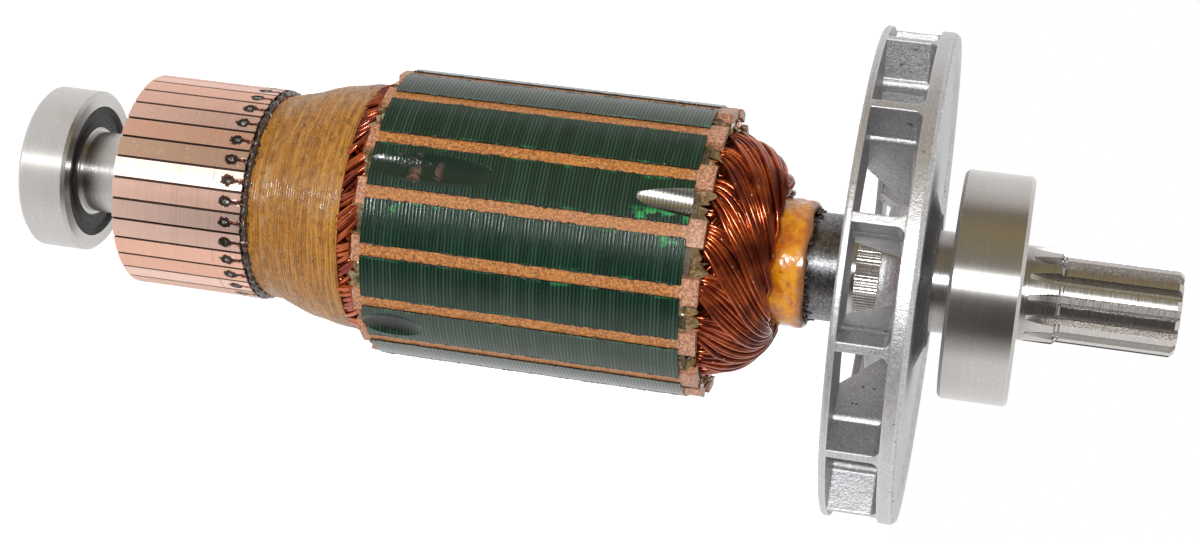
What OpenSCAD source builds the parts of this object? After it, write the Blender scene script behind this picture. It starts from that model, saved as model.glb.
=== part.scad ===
// Wound armature of a series motor: a splined shaft that carries a lamination
// stack with sixteen wound slots, a thirty-two bar commutator, a cast fan and
// a ball bearing near each end. The armature stands on its commutator-end
// bearing, with the shaft along +Z. Millimetres.

/* [Shaft] */
// How far the shaft end sits inside the outer face of the commutator-end bearing
end_recess = 0.5; // [0.2:0.1:1]
// Diameter of the ground journal between the bearing and the commutator
journal_d = 15; // [14:0.1:15.8]
// Length of the ground journal
journal_len = 11.6; // [8:0.1:16]
// Diameter of the shaft body under the insulating tube
body_d = 19; // [18.4:0.1:20]
// Diameter of the shaft where the fan is pressed on
fan_seat_d = 17.8; // [17.4:0.1:18.2]
// Length of bare shaft body between the insulating tube and the fan seat
bare_body_len = 6.8; // [4:0.1:8]
// Length of shaft between the fan and the drive-end bearing
collar_len = 3; // [1:0.1:6]
// Chamfer at both shaft ends
end_chamfer = 0.8; // [0.3:0.1:1.2]

/* [Spline] */
// Number of spline teeth
spline_teeth = 14; // [12:1:16]
// Diameter over the spline teeth
spline_d = 15.5; // [14.6:0.1:16.2]
// Diameter of the plain neck in front of the spline
neck_d = 16.5; // [16.3:0.1:16.9]
// Length of the neck, from the bearing to the step down to the teeth
neck_len = 6.5; // [4:0.1:9]
// Length of the toothed end, from the step to the shaft end
spline_len = 19.9; // [14:0.1:26]
// Depth of the tooth spaces below the teeth
tooth_depth = 1.9; // [1.4:0.1:2.1]
// Width of a tooth space at its mouth
space_w = 2.1; // [1.6:0.1:2.3]
// Width of a tooth space at its root
space_root_w = 0.9; // [0.6:0.1:1.2]
// Radius of the cutter that leaves the run-outs
cutter_r = 10; // [8:0.5:14]

/* [Commutator-end bearing] */
// Outside diameter
cb_od = 30; // [28:0.5:32]
// Bore
cb_bore = 10; // [9:0.5:11]
// Width
cb_w = 9; // [8:0.5:10]
// Number of balls
cb_balls = 7; // [6:1:8]
// Ball diameter
cb_ball_d = 4.76; // [4.4:0.02:5]

/* [Drive-end bearing] */
// Outside diameter
db_od = 40; // [39:0.5:42]
// Bore
db_bore = 17; // [16.6:0.1:17.3]
// Width
db_w = 12; // [11:0.5:13]
// Number of balls
db_balls = 8; // [7:1:8]
// Ball diameter
db_ball_d = 6.74; // [6.4:0.02:7]

/* [Bearing details] */
// Chamfer on the outer edges of the rings
ring_chamfer = 0.6; // [0.3:0.1:0.9]
// Depth of the seal face below the ring face
seal_recess = 0.45; // [0.3:0.05:0.7]
// Thickness of a seal
seal_t = 1; // [0.8:0.1:1.2]
// Running clearance between ball and raceway
ball_clear = 0.02; // [0.01:0.01:0.05]
// Running clearance between seal lip and inner ring
lip_clear = 0.08; // [0.05:0.01:0.15]

/* [Commutator] */
// Number of copper bars
bars = 32; // [32]
// Diameter over the bars
comm_d = 38.8; // [38:0.1:40]
// Length of the bars
comm_len = 24.4; // [20:0.1:28]
// Thickness of the mica between two bars
mica_t = 0.45; // [0.3:0.05:0.8]
// How far the mica is cut back below the bars
undercut = 0.7; // [0.4:0.1:1.3]
// Radial depth of a bar, its dovetail foot included
bar_depth = 6.8; // [6:0.1:7.6]
// Width of the slot for the wires at the back of each bar
riser_w = 1.1; // [0.9:0.1:1.6]
// Length of that slot
riser_len = 3.4; // [2.4:0.1:4.5]
// Depth of that slot
riser_depth = 2.4; // [2:0.1:2.6]
// Angle of the first gap between two bars
bar_angle = 1.6; // [0:0.1:11.2]

/* [Core] */
// Number of slots
slots = 16; // [16]
// Diameter of the lamination stack
core_d = 52; // [51:0.1:54]
// Length of the lamination stack
core_len = 56; // [48:0.5:64]
// Distance from the commutator to the stack
lead_space = 24.4; // [22:0.1:28]
// Thickness of the tooth tips over the slots
tip_t = 1; // [0.8:0.05:1.2]
// Width of the slot mouth
mouth_w = 2.3; // [1.6:0.1:2.6]
// Width of the slot under the tooth tips
slot_top_w = 5.1; // [4.6:0.1:5.6]
// Width of the slot at its round bottom
slot_root_w = 2.8; // [2.4:0.1:3]
// Radius from the shaft axis to the centre of the round slot bottom
slot_root_r = 15.2; // [14.6:0.1:16]
// Angle of the first slot
slot_angle = -5.9; // [-11:0.1:11]

/* [Insulation] */
// Wall of the insulating tube on the shaft
tube_wall = 1.2; // [0.9:0.1:1.4]
// How far the insulating tube stands out of the fan-end turns
tube_out = 3.9; // [2:0.1:6]
// Thickness of the slot liners
liner_t = 0.35; // [0.2:0.05:0.5]
// Thickness of the end insulators
end_plate_t = 1; // [0.6:0.1:1.4]
// How far the end insulators stay inside the stack's diameter
end_plate_in = 1.2; // [1.1:0.1:2]
// How far the slot liners stand out of the stack
liner_out = 2.4; // [1.6:0.1:3]
// Thickness of the slot wedges
wedge_t = 0.8; // [0.5:0.05:1]
// How far the wedges stand out at the fan end
wedge_out_fan = 3; // [1:0.1:4]
// How far the wedges stand out at the commutator end
wedge_out_comm = 1.6; // [0.5:0.1:2.5]
// How far the wedges stay below the stack's surface
wedge_low = 0.25; // [0.1:0.05:0.6]
// Side clearance of a wedge in its slot
wedge_clear = 0.1; // [0.05:0.05:0.2]

/* [Windings] */
// Distance from the stack to where the end turns fan out
turn_start = 2.6; // [2.5:0.1:3.5]
// Radius of the fan-end turns where they leave the slots
turn_r = 22.2; // [21:0.1:23]
// Height of the fan-end turns above the stack
turn_h = 14.6; // [12:0.1:17]
// Depth of the hollows between neighbouring coils
coil_relief = 1; // [0.2:0.1:1.6]
// Depth of the hollows between the strands of a coil
strand_relief = 0.3; // [0:0.05:0.5]
// How far a coil turns around the shaft between its slot and the top
coil_sweep = 75; // [30:5:110]

/* [Cord band] */
// Gap between the commutator and the band
band_gap = 0.6; // [0.3:0.1:1.2]
// Radius of the band's waist, next to the commutator
waist_r = 18.8; // [18.2:0.1:19.2]
// Radius of the band's flared end, next to the core
flare_r = 22.5; // [21.5:0.1:23.5]
// Length of bare turns between the band and the stack's end turns
bare_turns = 2.8; // [1:0.1:5]
// Thickness of the band
band_t = 1.1; // [0.8:0.1:1.5]
// Pitch of the cord
cord_pitch = 0.62; // [0.5:0.01:1]

/* [Fan] */
// Outside diameter
fan_d = 86; // [80:0.5:92]
// Height, from the front ring to the back of the rim
fan_h = 12.6; // [11:0.1:15]
// Number of blades
blades = 13; // [11:1:14]
// Blade thickness
blade_t = 1.6; // [1.2:0.1:2.2]
// Thickness of the front ring
front_t = 1.2; // [0.9:0.1:1.8]
// Width of the front ring
front_w = 14.5; // [10:0.5:18]
// Thickness of the back plate at its rim
rim_t = 2.9; // [2.2:0.1:3.6]
// Dishing of the back plate behind the rim
plate_dish = 0.8; // [0.4:0.1:1.2]
// Inner radius of the blades at the back plate
blade_in_r = 18; // [15:0.5:22]
// Radius of the blade fillets at the back plate
blade_fillet = 2; // [1:0.1:3]
// Radius of the hub at its front
hub_r = 12; // [11:0.1:14]
// Depth of the hub's front face behind the front ring
hub_drop = 4.6; // [3:0.1:6]
// Height of the boss on the back
boss_h = 1; // [0.5:0.1:1.6]
// Distance of the ejector posts from the shaft axis
post_at_r = 34.8; // [32:0.1:37]
// Diameter of the ejector posts
post_d = 2.8; // [2:0.1:3.4]
// Angle of the first blade
fan_angle = -73.5; // [-90:0.1:-60]

/* [Balance cuts] */
// Length of the milled notch at the fan end of the stack
notch_len = 9.5; // [6:0.5:14]
// Width of the milled notch
notch_w = 5.2; // [4:0.1:6]
// Depth of the milled notch at the end face
notch_depth = 1.8; // [1:0.1:2.2]
// Length of the long scoop at the commutator end
scoop_len = 23; // [14:0.5:30]
// Depth of the long scoop
scoop_depth = 1.2; // [0.6:0.1:1.6]
// Radius of the round-nosed cutter's edge
scoop_nose_r = 4.5; // [3.5:0.1:6]
// Length of the short scoop at the commutator end
short_scoop_len = 11; // [6:0.5:14]

/* [Hidden] */

$fn = 96;
eps = 0.01;         // overlap of a cutter past the face it cuts

// Heights along the shaft, from the commutator end
z_comm = cb_w + journal_len;
z_comm_end = z_comm + comm_len;
z_band = z_comm_end + band_gap;
z_core = z_comm_end + lead_space;
z_core_end = z_core + core_len;
z_turns = z_core - turn_start;
z_band_end = z_turns - bare_turns;
z_turns_top = z_core_end + turn_h;
z_tube_end = z_turns_top + tube_out;
z_fan_seat = z_tube_end + bare_body_len;
fan_lead = 1.4;     // fan seat that shows in front of the fan's front ring
z_fan = z_fan_seat + fan_lead;
z_fan_back = z_fan + fan_h + boss_h;
z_drive = z_fan_back + collar_len;
z_neck = z_drive + db_w;
z_spline = z_neck + neck_len;
z_end = z_spline + spline_len;

// Radii
comm_seat_r = journal_d / 2 + 0.2;
tube_r = body_d / 2 + tube_wall;
core_r = core_d / 2;
slot_top_r = core_r - tip_t;
wedge_r = slot_top_r - wedge_clear / 2;
wedge_in_r = wedge_r - wedge_t;
liner_top_r = sqrt(pow(wedge_in_r, 2) - pow(slot_top_w / 2, 2)) - wedge_clear / 2;
comm_r = comm_d / 2;
bar_foot_r = comm_r - bar_depth;
fan_r = fan_d / 2;
spline_root_r = spline_d / 2 - tooth_depth;

slot_step = 360 / slots;
bar_step = 360 / bars;
blade_step = 360 / blades;
spline_angle = -85.4;

function arc(cx, cy, r, a0, a1, n) = [for (i = [0:n]) [cx + r * cos(a0 + (a1 - a0) * i / n), cy + r * sin(a0 + (a1 - a0) * i / n)]];

// A ring about Z between two radii
module ring(r_in, r_out, z0, z1) {
    translate([0, 0, z0]) linear_extrude(z1 - z0) difference() {
        circle(r_out);
        circle(r_in);
    }
}

// A turned length of shaft with a chamfer at either end
module turned(r, z0, z1, c0 = 0, c1 = 0) {
    rotate_extrude() polygon([
        [0, z0], [r - c0, z0], if (c0 > 0) [r, z0 + c0],
        if (c1 > 0) [r, z1 - c1], [r - c1, z1], [0, z1]
    ]);
}

// ---- Shaft ----

// Outline of one tooth space: x across the tooth, y from the root outwards
module tooth_space_outline() {
    over = neck_d - spline_d + 1;
    flank = (space_w - space_root_w) / 2 / tooth_depth;
    polygon([
        [-space_root_w / 2, 0], [space_root_w / 2, 0],
        [space_w / 2 + flank * over, tooth_depth + over],
        [-space_w / 2 - flank * over, tooth_depth + over]
    ]);
}

// One tooth space: straight to the shaft end, with the cutter's run-out
module tooth_space() {
    rise = neck_d / 2 - spline_root_r;
    runout = sqrt(cutter_r * cutter_r - (cutter_r - rise) * (cutter_r - rise));
    z_straight = z_neck + 1.1 + runout;
    translate([spline_root_r, 0, z_straight]) {
        rotate([0, 0, 90]) mirror([0, 1, 0]) linear_extrude(z_end - z_straight + 1)
            tooth_space_outline();
        translate([cutter_r, 0, 0]) rotate([90, 0, 0]) rotate_extrude(start = 180, angle = 70)
            rotate([0, 0, 90]) translate([0, -cutter_r]) tooth_space_outline();
    }
}

module shaft() {
    color("silver") difference() {
        union() {
            turned(cb_bore / 2, end_recess, cb_w + eps, c0 = end_chamfer);
            turned(journal_d / 2, cb_w, z_comm);
            turned(comm_seat_r, z_comm, z_comm_end);
            turned(body_d / 2, z_comm_end, z_fan_seat, c1 = 0.4);
            turned(fan_seat_d / 2, z_fan_seat - eps, z_drive);
            turned(db_bore / 2, z_drive - eps, z_neck);
            turned(neck_d / 2, z_neck - eps, z_spline + eps, c1 = (neck_d - spline_d) / 2);
            turned(spline_d / 2, z_spline - eps, z_end, c1 = end_chamfer);
        }
        for (k = [0:spline_teeth - 1])
            rotate(spline_angle + k * 360 / spline_teeth) tooth_space();
    }
}

// ---- Core and slot insulation ----

// Slot outline below the tooth tips, along +X, with its walls moved in
module slot_outline(inset = 0, top = slot_top_r) {
    translate([slot_root_r, 0]) circle(slot_root_w / 2 - inset);
    taper = (slot_top_w - slot_root_w) / 2 / (slot_top_r - slot_root_r);
    half_root = slot_root_w / 2 - inset;
    half_top = half_root + taper * (top - slot_root_r);
    polygon([[slot_root_r, -half_root], [top, -half_top], [top, half_top], [slot_root_r, half_root]]);
}

module at_slots() {
    for (k = [0:slots - 1]) rotate(slot_angle + k * slot_step) children();
}

module stamping(r) {
    difference() {
        circle(r);
        circle(tube_r);
        at_slots() {
            slot_outline();
            translate([slot_top_r - eps, -mouth_w / 2]) square([tip_t + 1, mouth_w]);
        }
    }
}

// A land is the outer face of one tooth; land 0 follows the first slot
module at_land(k) {
    rotate(slot_angle + (k + 0.5) * slot_step) children();
}

// Milled notch that runs out of the end face
module end_notch() {
    r = (notch_w * notch_w / 4 + notch_depth * notch_depth) / 2 / notch_depth;
    tilt = atan(notch_depth / notch_len);
    translate([core_r - notch_depth + r, 0, z_core_end]) rotate([0, -tilt, 0])
        translate([0, 0, -notch_len * 1.5]) cylinder(r = r, h = notch_len * 3);
}

// Scoop left by a round-nosed disc cutter that runs along the shaft
module scoop(z_mid, length, depth) {
    disc_r = (length * length / 4 + depth * depth) / 2 / depth;
    translate([core_r - depth + disc_r, 0, z_mid]) rotate([90, 0, 0])
        rotate_extrude() translate([disc_r - scoop_nose_r, 0]) circle(scoop_nose_r);
}

notch_land = 11;
long_scoop_land = 11;
short_scoop_land = 14;

module core() {
    color("darkgreen") difference() {
        translate([0, 0, z_core]) linear_extrude(core_len) stamping(core_r);
        at_land(notch_land) end_notch();
        at_land(long_scoop_land) scoop(z_core + scoop_len / 2 - 0.5, scoop_len, scoop_depth);
        at_land(short_scoop_land) scoop(z_core + short_scoop_len / 2 - 0.5, short_scoop_len, scoop_depth);
    }
}

module end_insulator(z0) {
    color("olive") translate([0, 0, z0]) linear_extrude(end_plate_t) stamping(core_r - end_plate_in);
}

module slot_liners() {
    color("khaki") translate([0, 0, z_core - liner_out]) linear_extrude(core_len + 2 * liner_out)
        at_slots() difference() {
            slot_outline(top = liner_top_r);
            slot_outline(inset = liner_t, top = liner_top_r + eps);
        }
}

// Each wedge lies under the tooth tips and fills the slot mouth between them; its ends are full
module slot_wedges() {
    half = slot_top_w / 2 - (slot_top_w - slot_root_w) / 2 / (slot_top_r - slot_root_r) * (wedge_t + wedge_clear)
        - wedge_clear;
    color("sienna") difference() {
        translate([0, 0, z_core - wedge_out_comm])
            linear_extrude(core_len + wedge_out_comm + wedge_out_fan) at_slots() intersection() {
                difference() {
                    circle(core_r - wedge_low);
                    circle(wedge_in_r);
                }
                translate([slot_root_r, -half]) square([core_r - slot_root_r, 2 * half]);
            }
        translate([0, 0, z_core - wedge_clear / 2]) linear_extrude(core_len + wedge_clear)
            at_slots() for (s = [-1, 1]) translate([wedge_r, s > 0 ? mouth_w / 2 - wedge_clear / 2 : -half - 1])
                square([tip_t + 1, half + 1 - mouth_w / 2 + wedge_clear / 2]);
    }
}

module slot_conductors() {
    color("saddlebrown") translate([0, 0, z_turns]) linear_extrude(core_len + 2 * turn_start)
        at_slots() slot_outline(inset = liner_t, top = liner_top_r);
}

module shaft_insulating_tube() {
    color("orange") ring(body_d / 2, tube_r, z_comm_end, z_tube_end);
}

// ---- Windings ----

around = 128;       // steps around a bunch of end turns
rise_steps = 15;    // steps from the slots to the top of the turns
strands = 64;       // strand ridges around the bunch
round_power = 1.14; // how square the shoulder of the bunch is

// Ridged surface of revolution, closed on the insulating tube.
// sections is a list of [radius, height, relief], bottom to top.
module wound_bunch(sections, sweep) {
    n = len(sections);
    function ridge(a) = coil_relief * (1 - abs(cos(a * slots / 2))) * 0.6;
    function strand(a) = strand_relief * (1 - abs(cos(a * strands / 2)));
    outer = [for (j = [0:n - 1], i = [0:around - 1])
        let (a = i * 360 / around, t = j / (n - 1), s = sections[j],
            r = s[0] - s[2] * (ridge(a - sweep * t * t) + strand(a + sweep * t)))
        [r * cos(a), r * sin(a), s[1]]];
    inner = [for (j = [0, n - 1], i = [0:around - 1])
        let (a = i * 360 / around) [tube_r * cos(a), tube_r * sin(a), sections[j][1]]];
    low = n * around;
    high = low + around;
    function nxt(i) = (i + 1) % around;
    faces = [
        for (j = [0:n - 2], i = [0:around - 1])
            each [[j * around + i, (j + 1) * around + i, (j + 1) * around + nxt(i)],
                [j * around + i, (j + 1) * around + nxt(i), j * around + nxt(i)]],
        for (i = [0:around - 1])
            each [[low + i, high + nxt(i), high + i], [low + i, low + nxt(i), high + nxt(i)],
                [i, nxt(i), low + nxt(i)], [i, low + nxt(i), low + i],
                [(n - 1) * around + i, high + i, high + nxt(i)],
                [(n - 1) * around + i, high + nxt(i), (n - 1) * around + nxt(i)]]
    ];
    polyhedron(concat(outer, inner), faces, convexity = 6);
}

module winding_fan_end() {
    top_r = tube_r + 0.9;
    height = turn_h - turn_start;
    color("firebrick") wound_bunch([for (j = [0:rise_steps])
        let (t = 90 * j / rise_steps)
        [top_r + (turn_r - top_r) * pow(cos(t), round_power),
            z_core_end + turn_start + height * pow(sin(t), round_power),
            j == 0 ? 0.3 : pow(cos(t), 0.5) + 0.001]], coil_sweep);
}

// Radius of the cord band at a height
function band_r(z) =
    let (z_waist = z_band + 2.4, u = (z - z_waist) / (z_band_end - z_waist))
    u < 0 ? waist_r + 0.4 * (z - z_waist) / (z_waist - z_band)
        : waist_r + (flare_r - waist_r) * pow(sin(90 * min(u, 1)), 1.15);

band_steps = 10;

module winding_comm_end() {
    color("firebrick") wound_bunch([
        for (j = [0:band_steps])
            let (z = z_band + (z_band_end - z_band) * j / band_steps) [band_r(z) - band_t, z, 0],
        [flare_r - 0.3, z_band_end + 0.4, 0.6],
        [flare_r, z_turns - 0.9, 1],
        [flare_r - 0.2, z_turns, 1]], coil_sweep / 4);
}

module cord_band() {
    turns = floor((z_band_end - z_band) / cord_pitch);
    step = (z_band_end - z_band) / turns;
    rib = [0, 0.14, 0.2, 0.14];     // height of the cord across one turn
    outer = [for (k = [0:turns - 1], q = [0:3])
        let (z = z_band + (k + q / 4) * step) [band_r(z) - 0.2 + rib[q], z]];
    inner = [for (j = [0:band_steps])
        let (z = z_band_end + (z_band - z_band_end) * j / band_steps) [band_r(z) - band_t, z]];
    color("goldenrod") rotate_extrude() polygon(concat(outer, [[band_r(z_band_end) - 0.2, z_band_end]], inner));
}

// ---- Commutator ----

// Half section of a bar: wearing face outside, dovetail foot inside
notch_r = bar_foot_r + 0.26 * bar_depth;    // deepest point of the V under a bar end
lip_r = bar_foot_r + 0.53 * bar_depth;      // where the V leaves the end face
v_len = 3.5;                                // length of the V
foot_len = 1.8;                             // end of the foot, from the end face

module bar_outline(r_out = comm_r) {
    polygon([
        [r_out, z_comm], [r_out, z_comm_end], [lip_r, z_comm_end],
        [notch_r, z_comm_end - v_len], [bar_foot_r, z_comm_end - foot_len],
        [bar_foot_r, z_comm + foot_len], [notch_r, z_comm + v_len], [lip_r, z_comm]
    ]);
}

function gap_angle(k) = bar_angle + k * bar_step;

// The gap between two bars, with parallel walls
module bar_gap(r_out) {
    translate([bar_foot_r - 1, -mica_t / 2, z_comm - 1]) cube([r_out - bar_foot_r + 1, mica_t, comm_len + 2]);
}

// Bar k lies between gap k - 1 and gap k
module commutator_bar(k) {
    color("peru") difference() {
        rotate(gap_angle(k - 1)) rotate_extrude(angle = bar_step) bar_outline();
        rotate(gap_angle(k - 1)) bar_gap(comm_r + 1);
        rotate(gap_angle(k)) bar_gap(comm_r + 1);
        rotate(gap_angle(k - 0.5)) translate([comm_r - riser_depth, -riser_w / 2, z_comm_end - riser_len])
            cube([riser_depth + 1, riser_w, riser_len + 1]);
    }
}

module commutator_mica() {
    color("dimgray") intersection() {
        rotate_extrude() bar_outline(comm_r - undercut);
        for (k = [0:bars - 1]) rotate(gap_angle(k)) bar_gap(comm_r);
    }
}

module commutator_hub() {
    face = 0.5;     // how far the moulding stays behind the bars' front ends
    face_r = lip_r - (lip_r - notch_r) * face / v_len;
    color("saddlebrown") rotate_extrude() polygon([
        [comm_seat_r, z_comm + face], [face_r, z_comm + face], [notch_r, z_comm + v_len],
        [bar_foot_r, z_comm + foot_len], [bar_foot_r, z_comm_end - foot_len],
        [notch_r, z_comm_end - v_len], [lip_r, z_comm_end], [comm_seat_r, z_comm_end]
    ]);
}

// The wires that lie in the bars' slots and run under the cord band
module bar_leads() {
    lead_r = riser_w / 2 - 0.05;
    color("saddlebrown") for (k = [1:bars]) rotate(gap_angle(k - 0.5))
        translate([comm_r - riser_depth + lead_r, 0, z_comm_end - riser_len])
            cylinder(r = lead_r, h = riser_len + band_gap);
}

// ---- Fan ----

blade_root = 0.5;   // how far the blades run into the back plate
blade_tip_in = 0.15;    // how far the blade tips stay inside the rim
fillet_bite = 0.15; // how far a fillet's arc runs past the two faces it joins

hub_edge = 0.6;     // bevel on the hub's front edge
boss_edge = 0.4;    // bevel on the boss's back edge
boss_run = 4;       // run of the boss's sloping flank
rim_edge = 0.7;     // bevel on the rim's back edge
rim_land = 3.9;     // width of the flat behind the rim
dish_run = 1.5;     // run of the slope from that flat into the dish

module fan_profile() {
    plate_z = fan_h - rim_t;
    sweep_r = fan_h - rim_t - hub_drop;
    dish_z = fan_h - plate_dish;
    polygon(concat(
        [[fan_seat_d / 2, hub_drop], [hub_r - hub_edge, hub_drop]],
        arc(hub_r + sweep_r, hub_drop, sweep_r, 180, 90, 8),
        [
            [fan_r, plate_z], [fan_r, fan_h - rim_edge], [fan_r - rim_edge, fan_h],
            [fan_r - rim_land, fan_h], [fan_r - rim_land - dish_run, dish_z],
            [hub_r + boss_run, dish_z], [hub_r, fan_h + boss_h - boss_edge],
            [hub_r - boss_edge, fan_h + boss_h], [fan_seat_d / 2, fan_h + boss_h]
        ]));
}

// Section of a blade, with fillets where it meets the back plate
module blade_section() {
    plate_z = fan_h - rim_t;
    translate([-blade_t / 2, 0]) square([blade_t, plate_z + blade_root]);
    for (s = [-1, 1]) difference() {
        translate([s * (blade_t + blade_fillet) / 2 - blade_fillet / 2, plate_z - blade_fillet])
            square([blade_fillet, blade_fillet + blade_root]);
        translate([s * (blade_t / 2 + blade_fillet - fillet_bite), plate_z - blade_fillet + fillet_bite])
            circle(blade_fillet);
    }
}

// One blade along +X, with its ejector post
module blade() {
    plate_z = fan_h - rim_t;
    front_in_r = fan_r - front_w;
    tip_r = fan_r - blade_tip_in;
    intersection() {
        union() {
            translate([blade_in_r - 1, 0, 0]) rotate([90, 0, 90])
                linear_extrude(fan_r - blade_in_r + 2) blade_section();
            translate([post_at_r, 0, 0]) cylinder(d = post_d, h = plate_z + blade_root);
        }
        rotate_extrude() polygon([
            [front_in_r, front_t / 2], [tip_r, front_t / 2], [tip_r, plate_z + blade_root],
            [blade_in_r, plate_z + blade_root], [blade_in_r, plate_z]]);
    }
}

module fan() {
    front_in_r = fan_r - front_w;
    edge = 0.3;     // round on the ring's outer edge
    color("gainsboro") translate([0, 0, z_fan]) {
        rotate_extrude() fan_profile();
        rotate_extrude() polygon([
            [front_in_r, 0], [fan_r - edge, 0], [fan_r, edge], [fan_r, front_t], [front_in_r, front_t]]);
        for (k = [0:blades - 1]) rotate(fan_angle + k * blade_step) blade();
    }
}

// ---- Bearings ----
// Each takes [outside diameter, bore, width, balls, ball diameter, height]

comm_bearing = [cb_od, cb_bore, cb_w, cb_balls, cb_ball_d, 0];
drive_bearing = [db_od, db_bore, db_w, db_balls, db_ball_d, z_drive];

function pitch_r(b) = (b[0] + b[1]) / 4;
function outer_land_r(b) = pitch_r(b) + 0.36 * b[4];
function inner_land_r(b) = pitch_r(b) - 0.36 * b[4];
function seal_seat_r(b) = outer_land_r(b) + 0.5;

module raceway(b, side) {
    race_r = 0.52 * b[4];
    translate([pitch_r(b) + side * (b[4] / 2 + ball_clear - race_r), b[2] / 2]) circle(race_r);
}

module inner_ring(b) {
    r0 = b[1] / 2;
    r1 = inner_land_r(b);
    c = ring_chamfer / 2;
    color("silver") translate([0, 0, b[5]]) rotate_extrude() difference() {
        polygon([[r0, c], [r0 + c, 0], [r1 - c, 0], [r1, c], [r1, b[2] - c], [r1 - c, b[2]], [r0 + c, b[2]], [r0, b[2] - c]]);
        raceway(b, -1);
    }
}

module outer_ring(b) {
    r0 = outer_land_r(b);
    r1 = b[0] / 2;
    rs = seal_seat_r(b);
    c = ring_chamfer;
    s = seal_recess + seal_t;
    color("silver") translate([0, 0, b[5]]) rotate_extrude() difference() {
        polygon([
            [rs, 0], [r1 - c, 0], [r1, c], [r1, b[2] - c], [r1 - c, b[2]], [rs, b[2]],
            [rs, b[2] - s], [r0, b[2] - s], [r0, s], [rs, s]]);
        raceway(b, 1);
    }
}

module seal(b, side) {
    z = side < 0 ? seal_recess : b[2] - seal_recess - seal_t;
    lip = inner_land_r(b) + lip_clear;
    dish = 0.3;
    face = side < 0 ? [[lip + 0.8, z], [lip + 1.4, z + dish], [seal_seat_r(b) - 1, z + dish], [seal_seat_r(b) - 0.6, z]]
        : [[seal_seat_r(b) - 0.6, z + seal_t], [seal_seat_r(b) - 1, z + seal_t - dish],
            [lip + 1.4, z + seal_t - dish], [lip + 0.8, z + seal_t]];
    color("#222222") translate([0, 0, b[5]]) rotate_extrude() polygon(side < 0
        ? concat([[lip, z]], face, [[seal_seat_r(b), z], [seal_seat_r(b), z + seal_t], [lip, z + seal_t]])
        : concat([[lip, z], [seal_seat_r(b), z], [seal_seat_r(b), z + seal_t]], face, [[lip, z + seal_t]]));
}

module ball_set(b, r) {
    for (k = [0:b[3] - 1]) rotate((k + 0.5) * 360 / b[3])
        translate([pitch_r(b), 0, b[5] + b[2] / 2]) sphere(r);
}

module cage(b) {
    wall = 0.24 * b[4];
    half = min(0.56 * b[4], b[2] / 2 - seal_recess - seal_t - 0.15);
    color("burlywood") difference() {
        ring(pitch_r(b) - wall, pitch_r(b) + wall, b[5] + b[2] / 2 - half, b[5] + b[2] / 2 + half);
        ball_set(b, b[4] / 2 + 0.06);
    }
}

module balls(b) {
    color("lightgray") ball_set(b, b[4] / 2);
}

// ---- Placing ----

shaft();
core();
end_insulator(z_core - end_plate_t);  // end_insulator_comm_end
end_insulator(z_core_end);  // end_insulator_fan_end
slot_liners();
slot_wedges();
slot_conductors();
winding_comm_end();
winding_fan_end();
shaft_insulating_tube();
commutator_hub();
commutator_mica();
for (k = [1:bars]) {
    name = str("commutator_bar_", k < 10 ? "0" : "", k);
    commutator_bar(k);
}
bar_leads();
cord_band();
fan();
inner_ring(comm_bearing);  // comm_bearing_inner_ring
outer_ring(comm_bearing);  // comm_bearing_outer_ring
seal(comm_bearing, -1);  // comm_bearing_seal_outside
seal(comm_bearing, 1);  // comm_bearing_seal_inside
cage(comm_bearing);  // comm_bearing_cage
balls(comm_bearing);  // comm_bearing_balls
inner_ring(drive_bearing);  // drive_bearing_inner_ring
outer_ring(drive_bearing);  // drive_bearing_outer_ring
seal(drive_bearing, 1);  // drive_bearing_seal_outside
seal(drive_bearing, -1);  // drive_bearing_seal_inside
cage(drive_bearing);  // drive_bearing_cage
balls(drive_bearing);  // drive_bearing_balls
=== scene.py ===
"""Dresses the solids of a wound motor armature: windings, cord band, varnish, paper and metal finishes.

Every piece is in metres, in the frame of the solids: Z runs along the shaft, from the
commutator end up to the splined end. The armature stands on its commutator-end bearing.
"""

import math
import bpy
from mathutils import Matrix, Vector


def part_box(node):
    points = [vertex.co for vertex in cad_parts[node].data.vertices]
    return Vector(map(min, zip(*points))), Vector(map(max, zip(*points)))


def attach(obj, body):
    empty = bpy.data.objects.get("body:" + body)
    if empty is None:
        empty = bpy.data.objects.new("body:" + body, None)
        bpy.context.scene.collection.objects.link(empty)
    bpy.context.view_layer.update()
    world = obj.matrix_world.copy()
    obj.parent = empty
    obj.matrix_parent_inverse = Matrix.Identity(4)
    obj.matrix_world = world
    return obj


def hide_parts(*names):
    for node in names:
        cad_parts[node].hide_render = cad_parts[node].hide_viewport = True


bl_info = {
    "name": "Motor armature",
    "version": (1, 0, 0),
    "blender": (4, 5, 0),
    "location": "3D View > Sidebar > Armature",
    "description": "Builds the windings, cord band, varnish and metal finishes of a motor armature",
    "category": "Object",
}

import bmesh
import bpy
import numpy as np
from bpy.props import FloatProperty, FloatVectorProperty, IntProperty, PointerProperty
from mathutils import Matrix, Vector

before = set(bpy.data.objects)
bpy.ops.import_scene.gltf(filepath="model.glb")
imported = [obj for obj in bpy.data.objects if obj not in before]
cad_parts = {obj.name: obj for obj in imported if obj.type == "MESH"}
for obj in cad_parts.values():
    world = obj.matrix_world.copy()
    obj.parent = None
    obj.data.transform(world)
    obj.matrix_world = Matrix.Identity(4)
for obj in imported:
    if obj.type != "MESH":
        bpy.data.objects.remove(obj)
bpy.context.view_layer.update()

MM = 0.001
TAU = 2 * math.pi
ROTOR = "rotor"


# ---- Places that come from the solids, in millimetres ----

def heights(node):
    """Lowest and highest point of a solid along the shaft."""
    low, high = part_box(node)
    return low.z / MM, high.z / MM


def reach(node):
    """Largest distance of a turned solid from the shaft axis."""
    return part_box(node)[1].x / MM


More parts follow.
